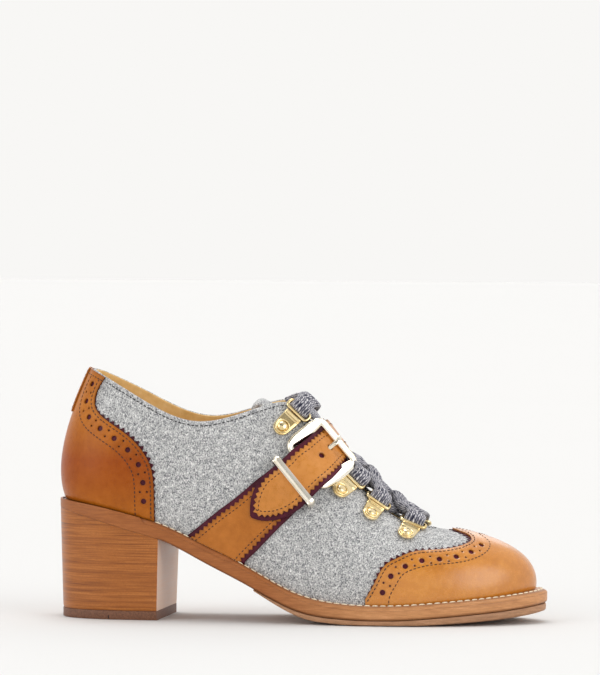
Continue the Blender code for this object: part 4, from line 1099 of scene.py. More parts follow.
WELT_START_X = 44.6
WELT_START_REACH = 0.6
SEAT_LIP = 1.2


def at_seat(x):
    """1 around the heel seat, where the outsole's own edge stands up, and 0 where the welt runs."""
    return np.clip((WELT_START_X + 0.5 * WELT_START_REACH - x) / WELT_START_REACH, 0.0, 1.0)


def outsole_rim(x):
    return outsole_top(x) + at_seat(x) * (WELT_THICKNESS + WELT_SEAM - SEAT_BELOW_WELT)


# How far each ring of the outsole, from its underside up, is from a burnished edge: 0 is on the edge
OUTSOLE_BURNISH = np.array([0.2, 0.0, 0.1, 1.0, 1.0, 1.0, 0.6, 0.4, 0.7, 1.0])
# The outsole's lower edge is free, and rounder, from a little before the heel's breast
FREE_BEFORE_BREAST = 2.0
FREE_REACH = 4.0
HALF_SOLE_POINTS = 110
HALF_SOLE_TIP = 0.03


def make_soles():
    """Outsole, half sole and insole, with eased edges."""
    seat = at_seat(sole_x(LOOP))
    free = np.clip((sole_x(LOOP) - HEEL_BREAST_X + FREE_BEFORE_BREAST) / FREE_REACH, 0.0, 1.0)
    # From the underside up: how far in, over which height, by how much
    levels = (
        (1.6, outsole_bottom, 0.0),
        (0.1 + 0.65 * free, outsole_bottom, 0.2 * free),
        (0.02 + 0.23 * free, outsole_bottom, 0.1 + 0.55 * free),
        (0.03 * free, outsole_bottom, 1.4),
        (0.0, outsole_rim, -0.9),
        (0.02 * seat, outsole_rim, -0.35),
        (0.12 * seat, outsole_rim, -0.08),
        (0.05 + 0.4 * seat, outsole_rim, 0.0),
        (SEAT_LIP - SEAM, outsole_rim, 0.0),
        (SEAT_LIP, outsole_top, 0.0),
    )
    stack("outsole_leather", [sole_point(LOOP, inset, raised(base, step)) for inset, base, step in levels],
          "outsole", replaces=("outsole",), slot="sole_leather",
          values={"edge": (1.0 - np.outer(1.0 - OUTSOLE_BURNISH, free)).ravel()})
    lateral = np.linspace(station_at(HALF_SOLE_REAR_X), TOE - HALF_SOLE_TIP, HALF_SOLE_POINTS)
    fore = np.concatenate([lateral, 2.0 * TOE - lateral[::-1]])

    def shared(share, step):
        """Heights between the half sole's underside and the outsole."""
        share += step / HALF_SOLE_THICKNESS
        return lambda x: half_sole_bottom(x) + share * (outsole_bottom(x) - SEAM - half_sole_bottom(x))

    stack("half_sole_leather", [sole_point(fore, HALF_SOLE_INSET + inset, shared(share, step))
                                for inset, share, step in HALF_SOLE_EDGE],
          "half_sole", replaces=("half_sole",), slot="sole_leather")
    inset = SEAT_INSET + SEAM
    levels = (
        (inset, outsole_top, 0.2),
        (inset, welt_top, INSOLE_ABOVE_WELT - 0.4),
        (inset + 0.5, welt_top, INSOLE_ABOVE_WELT),
    )
    stack("insole_leather", [seat_point(LOOP, inset, raised(base, step)) for inset, base, step in levels],
          "insole", replaces=("insole",), slot="lining_leather")


# The welt's profile: distance from its outer edge, height from its top
WELT_PROFILE = ((0.45, -2.41), (0.02, -2.41), (0.0, -2.38), (0.0, -1.5), (0.12, -0.95), (0.4, -0.5),
                (0.8, -0.2), (1.2, -0.06), (1.5, -0.15), (1.9, -0.32), (2.3, -0.15), (2.65, 0.0))
# How far each point of the welt's profile is from its burnished edge
WELT_BURNISH = (1.0, 1.0, 1.0, 1.0, 0.75, 0.3, 0.0, 0.1, 0.2, 0.2, 0.3, 0.5, 1.0, 1.0)
# Towards the tip of the toe the welt's outer edge is rounded off
TOE_ROUND_START = 222.0
TOE_ROUND_REACH = 3.2
TOE_ROUND_DROP = 1.1
TOE_ROUND_IN = 0.7
TOE_ROUND_POWER = 1.5
WELT_STITCH_IN = 1.85
WELT_STITCH_PITCH = 3.8
WELT_STITCH_START_X = 51.0
# Length, width and height of a stitch
WELT_STITCH = (2.9, 1.0, 1.05)
WELT_SEAT_DROP = 0.12


def make_welt():
    """The welt with its stitch groove, and the cream stitches in it from the waist to the toe."""
    seat = at_seat(sole_x(LOOP))
    outer = sole_point(LOOP, WELT_INSET + (SEAT_LIP + SEAM - WELT_INSET) * seat, welt_top)
    inward = seat_point(LOOP, SEAT_INSET, welt_top) - outer
    inward[:, 2] = 0.0
    width = np.linalg.norm(inward, axis=-1)
    inward = unit(inward)
    tip = np.clip((outer[:, 0] - TOE_ROUND_START) / (sole_x(TOE) - TOE_ROUND_START), 0.0, 1.0)
    tip = tip ** TOE_ROUND_POWER
    lower = WELT_SEAT_DROP * at_seat(outer[:, 0])
    rings = []
    for from_edge, from_top in WELT_PROFILE:
        near_top = max(1.0 + from_top / WELT_THICKNESS, 0.0)
        fall = TOE_ROUND_DROP * near_top * max(0.0, 1.0 - from_edge / TOE_ROUND_REACH)
        ring = outer + (from_edge + TOE_ROUND_IN * near_top * tip)[:, None] * inward
        ring[:, 2] = welt_top(ring[:, 0]) + from_top - lower - fall * tip
        rings.append(ring)
    for from_top in (0.0, -WELT_THICKNESS):
        ring = outer + width[:, None] * inward
        ring[:, 2] = welt_top(ring[:, 0]) + from_top - lower
        rings.append(ring)
    loft("welt_leather", np.stack(rings, 1), "outsole", round_trip=True, replaces=("welt",),
         slot="sole_leather", values={"edge": np.tile(WELT_BURNISH, len(LOOP))})

    path = outer + (WELT_STITCH_IN + TOE_ROUND_IN * tip)[:, None] * inward
    fall = TOE_ROUND_DROP * (1.0 - WELT_STITCH_IN / TOE_ROUND_REACH)
    path[:, 2] = welt_top(path[:, 0]) - STITCH_SINK - fall * tip
    path = path[path[:, 0] > WELT_STITCH_START_X]
    length = run_lengths(path)
    centres = at_lengths(np.arange(1.0, length[-1], WELT_STITCH_PITCH), length, path)
    along = unit(np.gradient(centres, axis=0))
    outward = np.broadcast_to(np.array([0.0, 0.0, 1.0]), along.shape)
    capsules("welt_stitches", centres, along, outward, *WELT_STITCH, "cream_thread")


# The heel from its top down: share of the way, and how far its edges are eased there
HEEL_LEVELS = np.array([0.0, 0.012, 0.04, 0.1, 0.2, 0.3, 0.4, 0.5, 0.6, 0.7, 0.8, 0.9, 0.96, 0.988, 1.0])
HEEL_EASE = np.array([0.04, 0.01, 0.0, 0.0, 0.0, 0.0, 0.0, 0.0, 0.0, 0.0, 0.0, 0.0, 0.02, 0.15, 0.4])
LIFT_MARK_X = 28.5
LIFT_MARK_HEIGHT = 1.3
# Length, width and height of the mark, a near-black raised dash that is painted shade for a notch in the lift
LIFT_MARK = (1.9, 0.7, 0.4)
LIFT_SEEN = 4.5
# The lift's rim from the floor up: how far in, height
LIFT_LEVELS = ((0.5, 0.0), (0.15, 0.12), (0.0, 0.5), (0.0, LIFT_SEEN - 0.5), (0.1, LIFT_SEEN - 0.1),
               (0.4, LIFT_SEEN))
HEEL_POINTS = 70
HEEL_FIRST_STATION = 0.03
# The breast's lean and skew fade from it to the heel's back by this power
BREAST_POWER = 4
# Share of the breast's lean that the lift has
LIFT_LEAN = 0.9


def make_heel():
    """The stacked heel block, its top lift, and a near-black raised dash on the lift that is painted shade
    for a notch in it.
    """
    back = np.linspace(HEEL_FIRST_STATION, station_at(HEEL_BREAST_X), HEEL_POINTS)
    around_heel = np.concatenate([back[::-1], -back])
    near_breast = (sole_x(back) / HEEL_BREAST_X) ** BREAST_POWER
    near_breast = np.concatenate([near_breast[::-1], near_breast])
    skew = np.where(around_heel < 0.0, HEEL_BREAST_SKEW, 0.0)

    def outline(inset, share, height):
        points = sole_point(around_heel, inset, lambda x: 0.0)
        points[:, 0] += (skew - share * HEEL_BREAST_LEAN) * near_breast
        points[:, 2] = height(points[:, 0])
        return points

    def block_level(share):
        return lambda x: (1.0 - share) * (outsole_bottom(x) - SEAM) + share * (LIFT_SEEN + SEAM)

    def lift_level(height):
        return lambda x: height + 0.0 * x

    levels = []
    for share, ease in zip(HEEL_LEVELS, HEEL_EASE):
        inset = HEEL_TOP_INSET + share * (HEEL_BOTTOM_INSET - HEEL_TOP_INSET)
        levels.append(outline(inset + ease, LIFT_LEAN * share, block_level(share)))
    stack("heel_stack", levels, "heel", replaces=("heel_block",), slot="heel_stack")
    levels = [outline(HEEL_BOTTOM_INSET + ease, LIFT_LEAN, lift_level(height))
              for ease, height in LIFT_LEVELS]
    stack("heel_lift", levels, "lift", replaces=("top_lift",), slot="lift_rubber")
    rim = outline(HEEL_BOTTOM_INSET, LIFT_LEAN, lift_level(LIFT_MARK_HEIGHT))
    rim = rim[rim[:, 1] < 0.0]
    mark = rim[np.argmin(np.abs(rim[:, 0] - LIFT_MARK_X))]
    up = np.array([[0.0, 0.0, 1.0]])
    outward = np.array([[0.0, -1.0, 0.0]])
    # Painted shade: a near-black dash stands out from the lift's side in place of the notch
    capsules("lift_mark", mark[None], up, outward, *LIFT_MARK, "hole")


# Soft creases and swells of the felt: station and share of both ends, height of the middle, half width
CREASE_ROWS = (
    (13.1, 0.1, 13.7, 0.62, -0.5, 3.4),
    (13.75, 0.34, 13.95, 0.72, 0.4, 3.0),
    (12.2, 0.08, 12.7, 0.5, 0.35, 4.0),
    (6.0, 0.62, 5.2, 0.9, -0.45, 5.0),
    (6.9, 0.66, 6.6, 0.93, 0.35, 4.5),
    (7.9, 0.72, 7.7, 0.97, -0.3, 4.0),
    (4.0, 0.82, 3.3, 0.93, -0.3, 4.0),
    (16.6, 0.62, 17.6, 0.84, -0.35, 4.5),
    (15.7, 0.6, 16.3, 0.8, 0.3, 3.5),
)
# Share of its height that a crease has at its ends
CREASE_END = 0.35
FELT_THICKNESS = 1.35
LINING_DROP = 0.15
LINING_GAP = 0.03
# How far the medial top edge stands over the lateral one, by station
MEDIAL_RISE_ROWS = ((2.5, 0.0), (4.0, 1.0), (5.5, 1.5), (8.0, 1.5), (9.5, 0.6), (10.5, 0.0))
MEDIAL_RISE_REACH = 0.8
# Share of the way up over which the wall turns from upright at the welt to its own slope
FOOT_BLEND = 0.12
WALL_AROUND = 400
WALL_UP = 46
RIM_STEPS = 9


def felt_relief(u, t):
    """Height of the felt over its plain form, from soft creases on both sides."""
    station = np.abs(np.where(u > TOE, u - 2.0 * TOE, u))
    flat = np.stack([station * UPPER_SHEET[0], t * UPPER_SHEET[1]], -1)
    relief = np.zeros_like(t)
    for from_u, from_t, to_u, to_t, height, reach in CREASE_ROWS:
        start = np.array([from_u, from_t]) * UPPER_SHEET
        run = np.array([to_u, to_t]) * UPPER_SHEET - start
        share = np.clip(((flat - start) @ run) / (run @ run), 0.0, 1.0)
        away = np.linalg.norm(flat - start - share[..., None] * run, axis=-1) / reach
        fade = CREASE_END + (1.0 - CREASE_END) * np.sin(math.pi * np.clip(share, 0.02, 0.98))
        relief += height * fade * np.exp(-away * away)
    return relief


def sunk(u, t, depth):
    """A point at a depth under the upper's outer face, level with it at the welt."""
    point = upper_point(u, t) - depth * upper_normal(u, t)
    nx, ny = plan_normal(foot_x, foot_y, u)
    foot = upper_point(u, 0.0 * t)
    foot[..., 0] -= depth * nx
    foot[..., 1] -= depth * ny
    foot[..., 2] = welt_top(foot[..., 0]) + FOOT_GAP
    blend = np.clip(1.0 - t / FOOT_BLEND, 0.0, 1.0)[..., None]
    return blend * foot + (1.0 - blend) * point


def wall(name, outer, inner, edge_drop, finish, relief, **details):
    """One layer of the upper, between two depths, with a rounded top edge."""
    u = np.arange(WALL_AROUND) * 2.0 * TOE / WALL_AROUND
    radius = 0.5 * (inner - outer)
    medial = np.where(u > TOE, 2.0 * TOE - u, 0.0)
    medial_rise = soft_table(MEDIAL_RISE_ROWS, MEDIAL_RISE_REACH)(medial)
    top = 1.0 - (radius + edge_drop - medial_rise) / edge_length(u)
    share = np.linspace(0.0, 1.0, WALL_UP)
    t = top[:, None] * share[None]
    wide = np.repeat(u[:, None], len(share), 1)
    outside = sunk(wide, t, outer)
    if relief:
        fade = np.sin(math.pi * np.clip(t, 0.0, 1.0)) ** 0.5
        outside += (felt_relief(wide, t) * fade)[..., None] * upper_normal(wide, t)
    inside_face = sunk(wide, t, inner)[:, ::-1]
    middle = 0.5 * (outside[:, -1] + inside_face[:, 0])
    half = 0.5 * (outside[:, -1] - inside_face[:, 0])
    top = np.minimum(top, 1.0)
    up = unit(upper_point(u, top) - upper_point(u, top - EDGE_STEP))
    turns = np.linspace(0.0, math.pi, RIM_STEPS)[1:-1]
    rim = np.stack([middle + math.cos(turn) * half + radius * math.sin(turn) * up for turn in turns], 1)
    rings = np.concatenate([outside, rim, inside_face], 1)
    return loft(name, rings, finish, round_trip=True, **details)


# The stitch rows along the top edge: how far under it, between which stations, size of a stitch
TOPLINE_STITCH_DROP = 2.4
TOPLINE_FROM = 2.6
TOPLINE_TO = 19.0
TOPLINE_STITCH_LIFT = 0.02
TOPLINE_STITCH = {"pitch": 2.2, "length": 1.6, "width": 0.6, "height": 0.5}


def topline_path(first, last):
    """A sheet path a little under the top edge between two stations."""
    u = np.linspace(first, last, 120)
    return upper_sheet(u, 1.0 - TOPLINE_STITCH_DROP / edge_length(u))


def make_upper():
    """Felt body, leather lining and the stitches along the top edge."""
    wall("felt_body", 0.0, FELT_THICKNESS, 0.0, "felt", True, replaces=("upper",), slot="felt")
    wall("leather_lining", FELT_THICKNESS + LINING_GAP, WALL, LINING_DROP, "lining", False,
         slot="lining_leather")
    rows = [topline_path(TOPLINE_FROM, TOPLINE_TO), topline_path(-TOPLINE_TO, -TOPLINE_FROM)]
    stitches("topline_stitches", on_leather, rows, TOPLINE_STITCH_LIFT, "grey_thread", **TOPLINE_STITCH)


def soft_sheet(name, low, high, finish, ease=1.0, **details):
    """A solid between two grids of points, thinned to a round edge all around."""
    rows, columns = low.shape[:2]
    middle = 0.5 * (low + high)
    half = 0.5 * (high - low)
    down = run_lengths(middle[:, columns // 2])
    side = run_lengths(middle[rows // 2])
    near_end = np.minimum(down, down[-1] - down)[:, None]
    near_side = np.minimum(side, side[-1] - side)[None]
    away = 1.0 - np.clip(np.minimum(near_end, near_side) / ease, 0.03, 1.0)
    half = half * np.sqrt(1.0 - away * away)[..., None]
    rings = np.concatenate([middle + half, (middle - half)[:, ::-1]], 1)
    return loft(name, rings, finish, **details)


def even_rows(grid, places):
    """A grid refined along its first axis by a smooth curve, at places counted in rows."""
    count = len(grid)
    flat = grid.reshape(count, -1)
    fine = np.stack([open_spline(range(count), flat[:, k])(places) for k in range(flat.shape[1])], -1)
    return fine.reshape(len(places), *grid.shape[1:])


def fine_places(count, steps):
    """Places along rows with some more next to both ends."""
    inner = np.linspace(0.0, count - 1.0, steps)
    near = np.array([0.01, 0.03, 0.06])
    return np.unique(np.concatenate([inner, near, count - 1.0 - near]))


TONGUE_STATIONS = (19.7, 19.2, 18.7, 18.1, 17.4, 16.7, 16.0, 15.0, 14.0, 13.0, 12.0, 11.3, 10.8)
# How far down the tongue's sides reach under the upper: station, share of the way up
TONGUE_WING_ROWS = ((10.8, 0.96), (12.5, 0.84))
TONGUE_WING_SHARES = (0.0, 0.5, 1.0)
TONGUE_BRIDGE_SHARES = (0.25, 0.5, 0.75)
TONGUE_STEPS_ALONG = 90
TONGUE_STEPS_ACROSS = 40


def make_tongue():
    """The felt tongue, along the throat and bent back over the collar to its tip."""
    stations = np.array(TONGUE_STATIONS)
    wing = np.interp(stations, *zip(*TONGUE_WING_ROWS))
    shares = wing[:, None] + (1.0 - wing[:, None]) * np.array(TONGUE_WING_SHARES)[None]
    bridge = np.array(TONGUE_BRIDGE_SHARES)
    tip = {name: column(TONGUE_TIP_ROWS, TONGUE_TIP_COLUMNS, name) for name in TONGUE_TIP_COLUMNS}
    run = np.gradient(np.stack([tip["x"], tip["z"]], -1), axis=0)
    up = unit(np.stack([run[:, 1], -run[:, 0]], -1))
    across = np.linspace(-1.0, 1.0, 2 * shares.shape[1] + len(bridge))

    def face(depth, tip_depth):
        u = np.repeat(stations[:, None], shares.shape[1], 1)
        lateral = on_upper(u, shares, -depth)
        medial = on_upper(-u, shares, -depth)[:, ::-1]
        u, v = np.meshgrid(stations, bridge, indexing="ij")
        grid = np.concatenate([lateral, crest_point(u, v, -depth), medial], 1)
        x = np.repeat((tip["x"] - tip_depth * up[:, 0])[:, None], len(across), 1)
        y = tip["half_width"][:, None] * across[None]
        z = (tip["z"] - tip_depth * up[:, 1])[:, None] - tip["arch"][:, None] * across[None] ** 2
        grid = np.concatenate([grid, np.stack([x, y, z], -1)], 0)
        grid = even_rows(grid, fine_places(len(grid), TONGUE_STEPS_ALONG))
        across_grid = even_rows(grid.transpose(1, 0, 2), fine_places(grid.shape[1], TONGUE_STEPS_ACROSS))
        return across_grid.transpose(1, 0, 2)

    top = WALL + TONGUE_CLEARANCE
    soft_sheet("tongue_felt", face(top + TONGUE_THICKNESS, TONGUE_THICKNESS), face(top, 0.0), "felt",
               replaces=("tongue",), slot="felt")


# Layers over the felt: a toothed underlay, then the tan leather with its punched holes
UNDERLAY_LOW = 0.12
UNDERLAY_HIGH = 0.62
TAN_LOW = 0.66
TAN_HIGH = 1.55
TEETH_DEPTH = 2.0
TEETH_PITCH = 3.3
EDGE_STITCH_IN = 1.5
PUNCH_IN = 5.6
PUNCH_PITCH = 8.7
CAP_PUNCH_START = 8.7
CAP_PUNCHES = 8
COUNTER_PUNCH_IN = 5.0
COUNTER_PUNCH_START = 8.9
COUNTER_PUNCHES = 9
COUNTER_PUNCH_PITCH = 9.12
PUNCH_RADIUS = 1.35
PIN_RADIUS = 0.5
PIN_AWAY = 1.75
PUNCH_SIDES = 14
PIN_SIDES = 8
ROW_IN = 9.2
# The cap's inner stitch row: station and share of the way up
CAP_ROW = ((14.2, 0.0), (14.22, 0.065), (14.45, 0.175), (14.75, 0.271), (15.11, 0.318), (15.65, 0.356),
           (16.46, 0.373), (17.08, 0.401), (17.87, 0.469), (18.5, 0.545), (19.1, 0.625), (19.6, 0.69),
           (20.0, 0.715))
UNDERLAY_FALL = 0.12
# How close the points of a layer lie
UNDERLAY_SPACING = 2.4
TAN_SPACING = 2.0
STAY_SPACING = 1.6
# How deep the teeth are along the underlay's edge: over the cap from foot to foot, up the counter
CAP_TEETH = np.array([0.0, 0.7, 1.0, 1.0, 1.0, 1.0, 1.0, 1.0, 1.0, 1.0, 1.0, 1.0, 0.7, 0.0]) * -TEETH_DEPTH
COUNTER_TEETH = np.array([0.25, 0.3, 0.4, 0.95, 1.0, 1.0, 1.0, 0.9, 0.3, 0.1, 0.0]) * -TEETH_DEPTH
COUNTER_TOP = 0.992
COUNTER_ROWS_TOP = 0.95
# The stitch row along the counter's top: how far to each side, share of the way up
COUNTER_TOP_ROW_END = 2.3
COUNTER_TOP_ROW = 0.955
# The stay over the back seam and its stitches, on the upper's sheet: half width, low end, high end, corner
STAY = (5.5, 40.0, 59.6, 2.0)
STAY_ROW = (4.2, 41.4, 58.4, 1.5)
STAY_OVER_TAN = 0.06
STAY_HEIGHT = 1.0
STAY_STITCH_HEIGHT = 0.84


def punched(place, path, pitch, start, count):
    """Outlines of large holes along a path at a pitch, with a pinhole on each side of every gap."""
    line = even_path(place, path, 0.25)
    length = run_lengths(place(line, 0.0))
    centres = start + pitch * np.arange(count)
    holes = [hole_loop(place, at_lengths(centre, length, line), PUNCH_RADIUS, PUNCH_SIDES)
             for centre in centres]
    left = path_frame(place, line)[1]
    for centre in centres[:-1] + 0.5 * pitch:
        index = int(np.searchsorted(length, centre))
        for side in (-PIN_AWAY, PIN_AWAY):
            middle = sheet_move(place, at_lengths(centre, length, line), side * left[index])
            holes.append(hole_loop(place, middle, PIN_RADIUS, PIN_SIDES))
    return holes


def make_toe_cap():
    """The wing-shaped cap: toothed burgundy underlay, tan leather with punched holes, two stitch rows."""
    first = CAP_EDGE_ROWS[0][0]
    wing = np.linspace(first, TOE, 160)[1:]
    station = np.concatenate([np.full(8, first), wing])
    share = np.concatenate([np.linspace(0.0, cap_edge(first), 8), cap_edge(wing)])
    station = np.concatenate([station, 2.0 * TOE - station[-2::-1]])
    share = np.concatenate([share, share[-2::-1]])
    edge = even_path(on_leather, upper_sheet(station, share)[::-1], 1.0)
    foot = upper_sheet(np.linspace(first, 2.0 * TOE - first, 260)[1:-1], 0.0)
    toothed = pinked(on_leather, edge, CAP_TEETH, TEETH_PITCH)
    region("cap_underlay", on_leather, np.concatenate([foot, toothed]), [], UNDERLAY_LOW, UNDERLAY_HIGH,
           UNDERLAY_SPACING, "burgundy", fall=UNDERLAY_FALL, replaces=("toe_cap",), slot="tan_leather")
    middle = int(np.argmin(np.abs(edge[:, 0] - TOE * UPPER_SHEET[0])))
    halves = (edge[middle:][::-1], edge[:middle + 1])
    holes = []
    for half, side in zip(halves, (-PUNCH_IN, PUNCH_IN)):
        line = beside(on_leather, half, side)
        holes += punched(on_leather, line, PUNCH_PITCH, CAP_PUNCH_START, CAP_PUNCHES)
    region("cap_leather", on_leather, np.concatenate([foot, edge]), holes, TAN_LOW, TAN_HIGH, TAN_SPACING,
           "cap_tan", slot="tan_leather")
    lateral = np.array(CAP_ROW)
    medial = np.array([2.0 * TOE, 0.0]) + np.array([-1.0, 1.0]) * lateral[-2::-1]
    inner_row = through(np.concatenate([lateral, medial]) * UPPER_SHEET, 1.0)[0]
    outer_row = beside(on_leather, edge, EDGE_STITCH_IN)[3:-3]
    stitches("cap_stitches", on_leather, [outer_row, inner_row], TAN_HIGH - STITCH_SINK, "dark_thread")


def make_counter():
    """The heel counter in the same layers, and the stay over the back seam."""
    t = np.linspace(0.0, COUNTER_TOP, 130)
    u = counter_edge(t)
    lateral_edge = even_path(on_leather, upper_sheet(u, t), 1.0)
    medial_edge = even_path(on_leather, upper_sheet(-u[::-1], t[::-1]), 1.0)
    foot = upper_sheet(np.linspace(-u[0], u[0], 110)[1:-1], 0.0)
    top = upper_sheet(np.linspace(u[-1], -u[-1], 70)[1:-1], COUNTER_TOP)
    teeth = [pinked(on_leather, lateral_edge, COUNTER_TEETH, TEETH_PITCH),
             pinked(on_leather, medial_edge, COUNTER_TEETH[::-1], TEETH_PITCH)]
    region("counter_underlay", on_leather, np.concatenate([foot, teeth[0], top, teeth[1]]), [],
           UNDERLAY_LOW, UNDERLAY_HIGH, UNDERLAY_SPACING, "burgundy", fall=UNDERLAY_FALL,
           replaces=("heel_counter",), slot="tan_leather")
    holes = []
    rows = []
    for upward, sign in ((lateral_edge, 1.0), (medial_edge[::-1], -1.0)):
        line = beside(on_leather, upward, sign * COUNTER_PUNCH_IN)
        holes += punched(on_leather, line, COUNTER_PUNCH_PITCH, COUNTER_PUNCH_START, COUNTER_PUNCHES)
        for distance in (EDGE_STITCH_IN, ROW_IN):
            row = beside(on_leather, upward, sign * distance)
            rows.append(row[row[:, 1] < COUNTER_ROWS_TOP * UPPER_SHEET[1]])
    region("counter_leather", on_leather, np.concatenate([foot, lateral_edge, top, medial_edge]), holes,
           TAN_LOW, TAN_HIGH, TAN_SPACING, "counter_tan", slot="tan_leather")
    rows.append(upper_sheet(np.linspace(COUNTER_TOP_ROW_END, -COUNTER_TOP_ROW_END, 60), COUNTER_TOP_ROW))
    stitches("counter_stitches", on_leather, rows, TAN_HIGH - STITCH_SINK, "dark_thread")

    loops = [rounded([(-half, low), (half, low), (half, high), (-half, high)], corner, steps=6)
             for half, low, high, corner in (STAY, STAY_ROW)]
    region("heel_stay", on_leather, loops[0], [], TAN_HIGH + STAY_OVER_TAN, TAN_HIGH + STAY_HEIGHT,
           STAY_SPACING, "counter_tan", replaces=("heel_tab",), slot="tan_leather")
    stitches("stay_stitches", on_leather, [loops[1]], TAN_HIGH + STAY_STITCH_HEIGHT, "dark_thread")


STRAP_MARGIN = 3.0
STRAP_TEETH = 1.3
STRAP_TEETH_PITCH = 2.75
STRAP_ROW_IN = 4.5
STRAP_STITCH = 1.2
BASE_END = 4.3
# Heights of the two layers of each strap: low and high of the underlay, low and high of the tan leather
BASE_LAYERS = (0.0, 1.05, 1.1, 2.2)
BILLET_LAYERS = (0.0, 1.15, 1.2, 2.4)
BASE_EASE = 0.2
BILLET_EASE = 0.04
# Edges of the short strap, then of the long strap from its tip on: band place, rear and front share
STRAP_COLUMNS = ("place", "rear", "front")
BASE_EDGE_ROWS = (
    (0.0, 0.0, 1.0),
    (1.0, 0.05, 1.0),
    (2.0, 0.07, 1.0),
    (3.0, 0.06, 1.0),
    (3.7, 0.08, 0.99),
    (4.3, 0.225, 0.885),
)
BILLET_EDGE_ROWS = (
    (1.99, 0.5, 0.52),
    (2.04, 0.44, 0.59),
    (2.15, 0.36, 0.68),
    (2.32, 0.265, 0.785),
    (2.56, 0.18, 0.894),
    (2.84, 0.12, 0.96),
    (3.2, 0.08, 1.0),
    (3.75, 0.083, 1.03),
    (4.3, 0.14, 1.035),
    (4.9, 0.138, 1.037),
    (6.0, 0.05, 0.98),
    (7.2, 0.08, 0.92),
    (14.0, 0.08, 0.92),
)
# The long strap's points lie closer from its tip to this band place, and its leather stops short of its end
BILLET_TIP_END = 3.0
BILLET_END_CLEAR = 0.1
# Band place and share of each hole
STRAP_HOLES = ((5.136, 0.589), (5.69, 0.532))
STRAP_HOLE_RADIUS = 1.45
STRAP_HOLE_SIDES = 16
STRAP_FALL = 0.3
FOLD_THICKNESS = 1.2
FOLD_SHARES = (0.225, 0.885)
FOLD_SLOT = 2.2
KEEPER_SHARES = (-0.015, 1.096)
KEEPER_OVER_STRAP = 0.5
WIRE_RADIUS = 1.15
PRONG_WIDTH = 2.2
PRONG_METAL = 1.3


def band_frame(a, lift):
    """Middle of the band with unit vectors along it, across it and out of it."""
    centre = on_band(a, 0.5, lift)
    along = unit(on_band(a + 0.05, 0.5, lift) - on_band(a - 0.05, 0.5, lift))
    across = on_band(a, 1.0, lift) - on_band(a, 0.0, lift)
    across = unit(across - along * np.dot(across, along))
    outward = np.cross(across, along)
    if np.dot(outward, centre - on_band(a, 0.5, lift - 1.0)) < 0.0:
        outward = -outward
    return centre, along, across, outward


def strap_edges(rows, place, reach, a):
    """Rear and front sheet paths of a strap from its table of edges."""
    places = column(rows, STRAP_COLUMNS, "place")
    paths = []
    for name in ("rear", "front"):
        share = soft_table(list(zip(places, column(rows, STRAP_COLUMNS, name))), reach)(a)
        paths.append(even_path(place, np.stack([a, share], -1) * STRAP_SHEET, 1.2))
    return paths


# The short strap's fold round the buckle's bar: its gap to the bar, and its ends as angles from outwards
FOLD_GAP = 0.12
FOLD_TURNS = (-62.0, 205.0)
FOLD_EASE = 0.6


def make_strap_base():
    """The short strap from the sole to the buckle's bar, with its fold round the bar."""
    rear, front = strap_edges(BASE_EDGE_ROWS, on_base, BASE_EASE, np.linspace(0.0, BASE_END, 90))
    cross = np.linspace(0.0, 1.0, 22)[1:-1, None]
    end = rear[-1] + cross * (front[-1] - rear[-1])
    start = front[0] + cross * (rear[0] - front[0])
    outline = np.concatenate([rear, end, front[::-1], start])
    region("base_underlay", on_base, outline, [], *BASE_LAYERS[:2], UNDERLAY_SPACING, "burgundy",
           fall=STRAP_FALL, replaces=("strap_base",), slot="tan_leather")
    teeth = np.full(4, STRAP_TEETH)
    toothed_rear = pinked(on_base, beside(on_base, rear, STRAP_MARGIN), -teeth, STRAP_TEETH_PITCH)
    toothed_front = pinked(on_base, beside(on_base, front, -STRAP_MARGIN), teeth, STRAP_TEETH_PITCH)
    loop = np.concatenate([toothed_rear, toothed_front[::-1]])
    region("base_leather", on_base, loop, [], *BASE_LAYERS[2:], TAN_SPACING, "base_tan", slot="tan_leather")
    rows = [beside(on_base, rear, STRAP_ROW_IN), beside(on_base, front, -STRAP_ROW_IN)]
    stitches("base_stitches", on_base, rows, BASE_LAYERS[3] - STITCH_SINK, "dark_thread",
             length=STRAP_STITCH)

    centre, along, across, outward = band_frame(BAR_PLACE, BAR_HEIGHT)
    inner = WIRE_RADIUS + FOLD_GAP
    turns = np.radians(np.linspace(*FOLD_TURNS, 40))
    rays = np.cos(turns)[:, None] * outward + np.sin(turns)[:, None] * along
    width = np.linalg.norm(on_band(BAR_PLACE, 1.0, 0.0) - on_band(BAR_PLACE, 0.0, 0.0))
    rear_end, front_end = [(share - 0.5) * width for share in FOLD_SHARES]
    pairs = ((rear_end, BAR_SHIFT - FOLD_SLOT), (BAR_SHIFT + FOLD_SLOT, front_end))
    for number, ends in enumerate(pairs, 1):
        offsets = np.linspace(*ends, 12)[None, :, None] * across
        low, high = [centre + radius * rays[:, None] + offsets
                     for radius in (inner, inner + FOLD_THICKNESS)]
        soft_sheet(f"base_fold_{number}", low, high, "base_tan", ease=FOLD_EASE, slot="tan_leather")


def on_strap_only(path):
    """The points of a sheet path that lie short of the long strap's sewn end, at even distances."""
    end = STRAP_END * STRAP_SHEET[0] - BILLET_END_CLEAR
    return even_path(on_billet, path[path[:, 0] < end], 1.0)


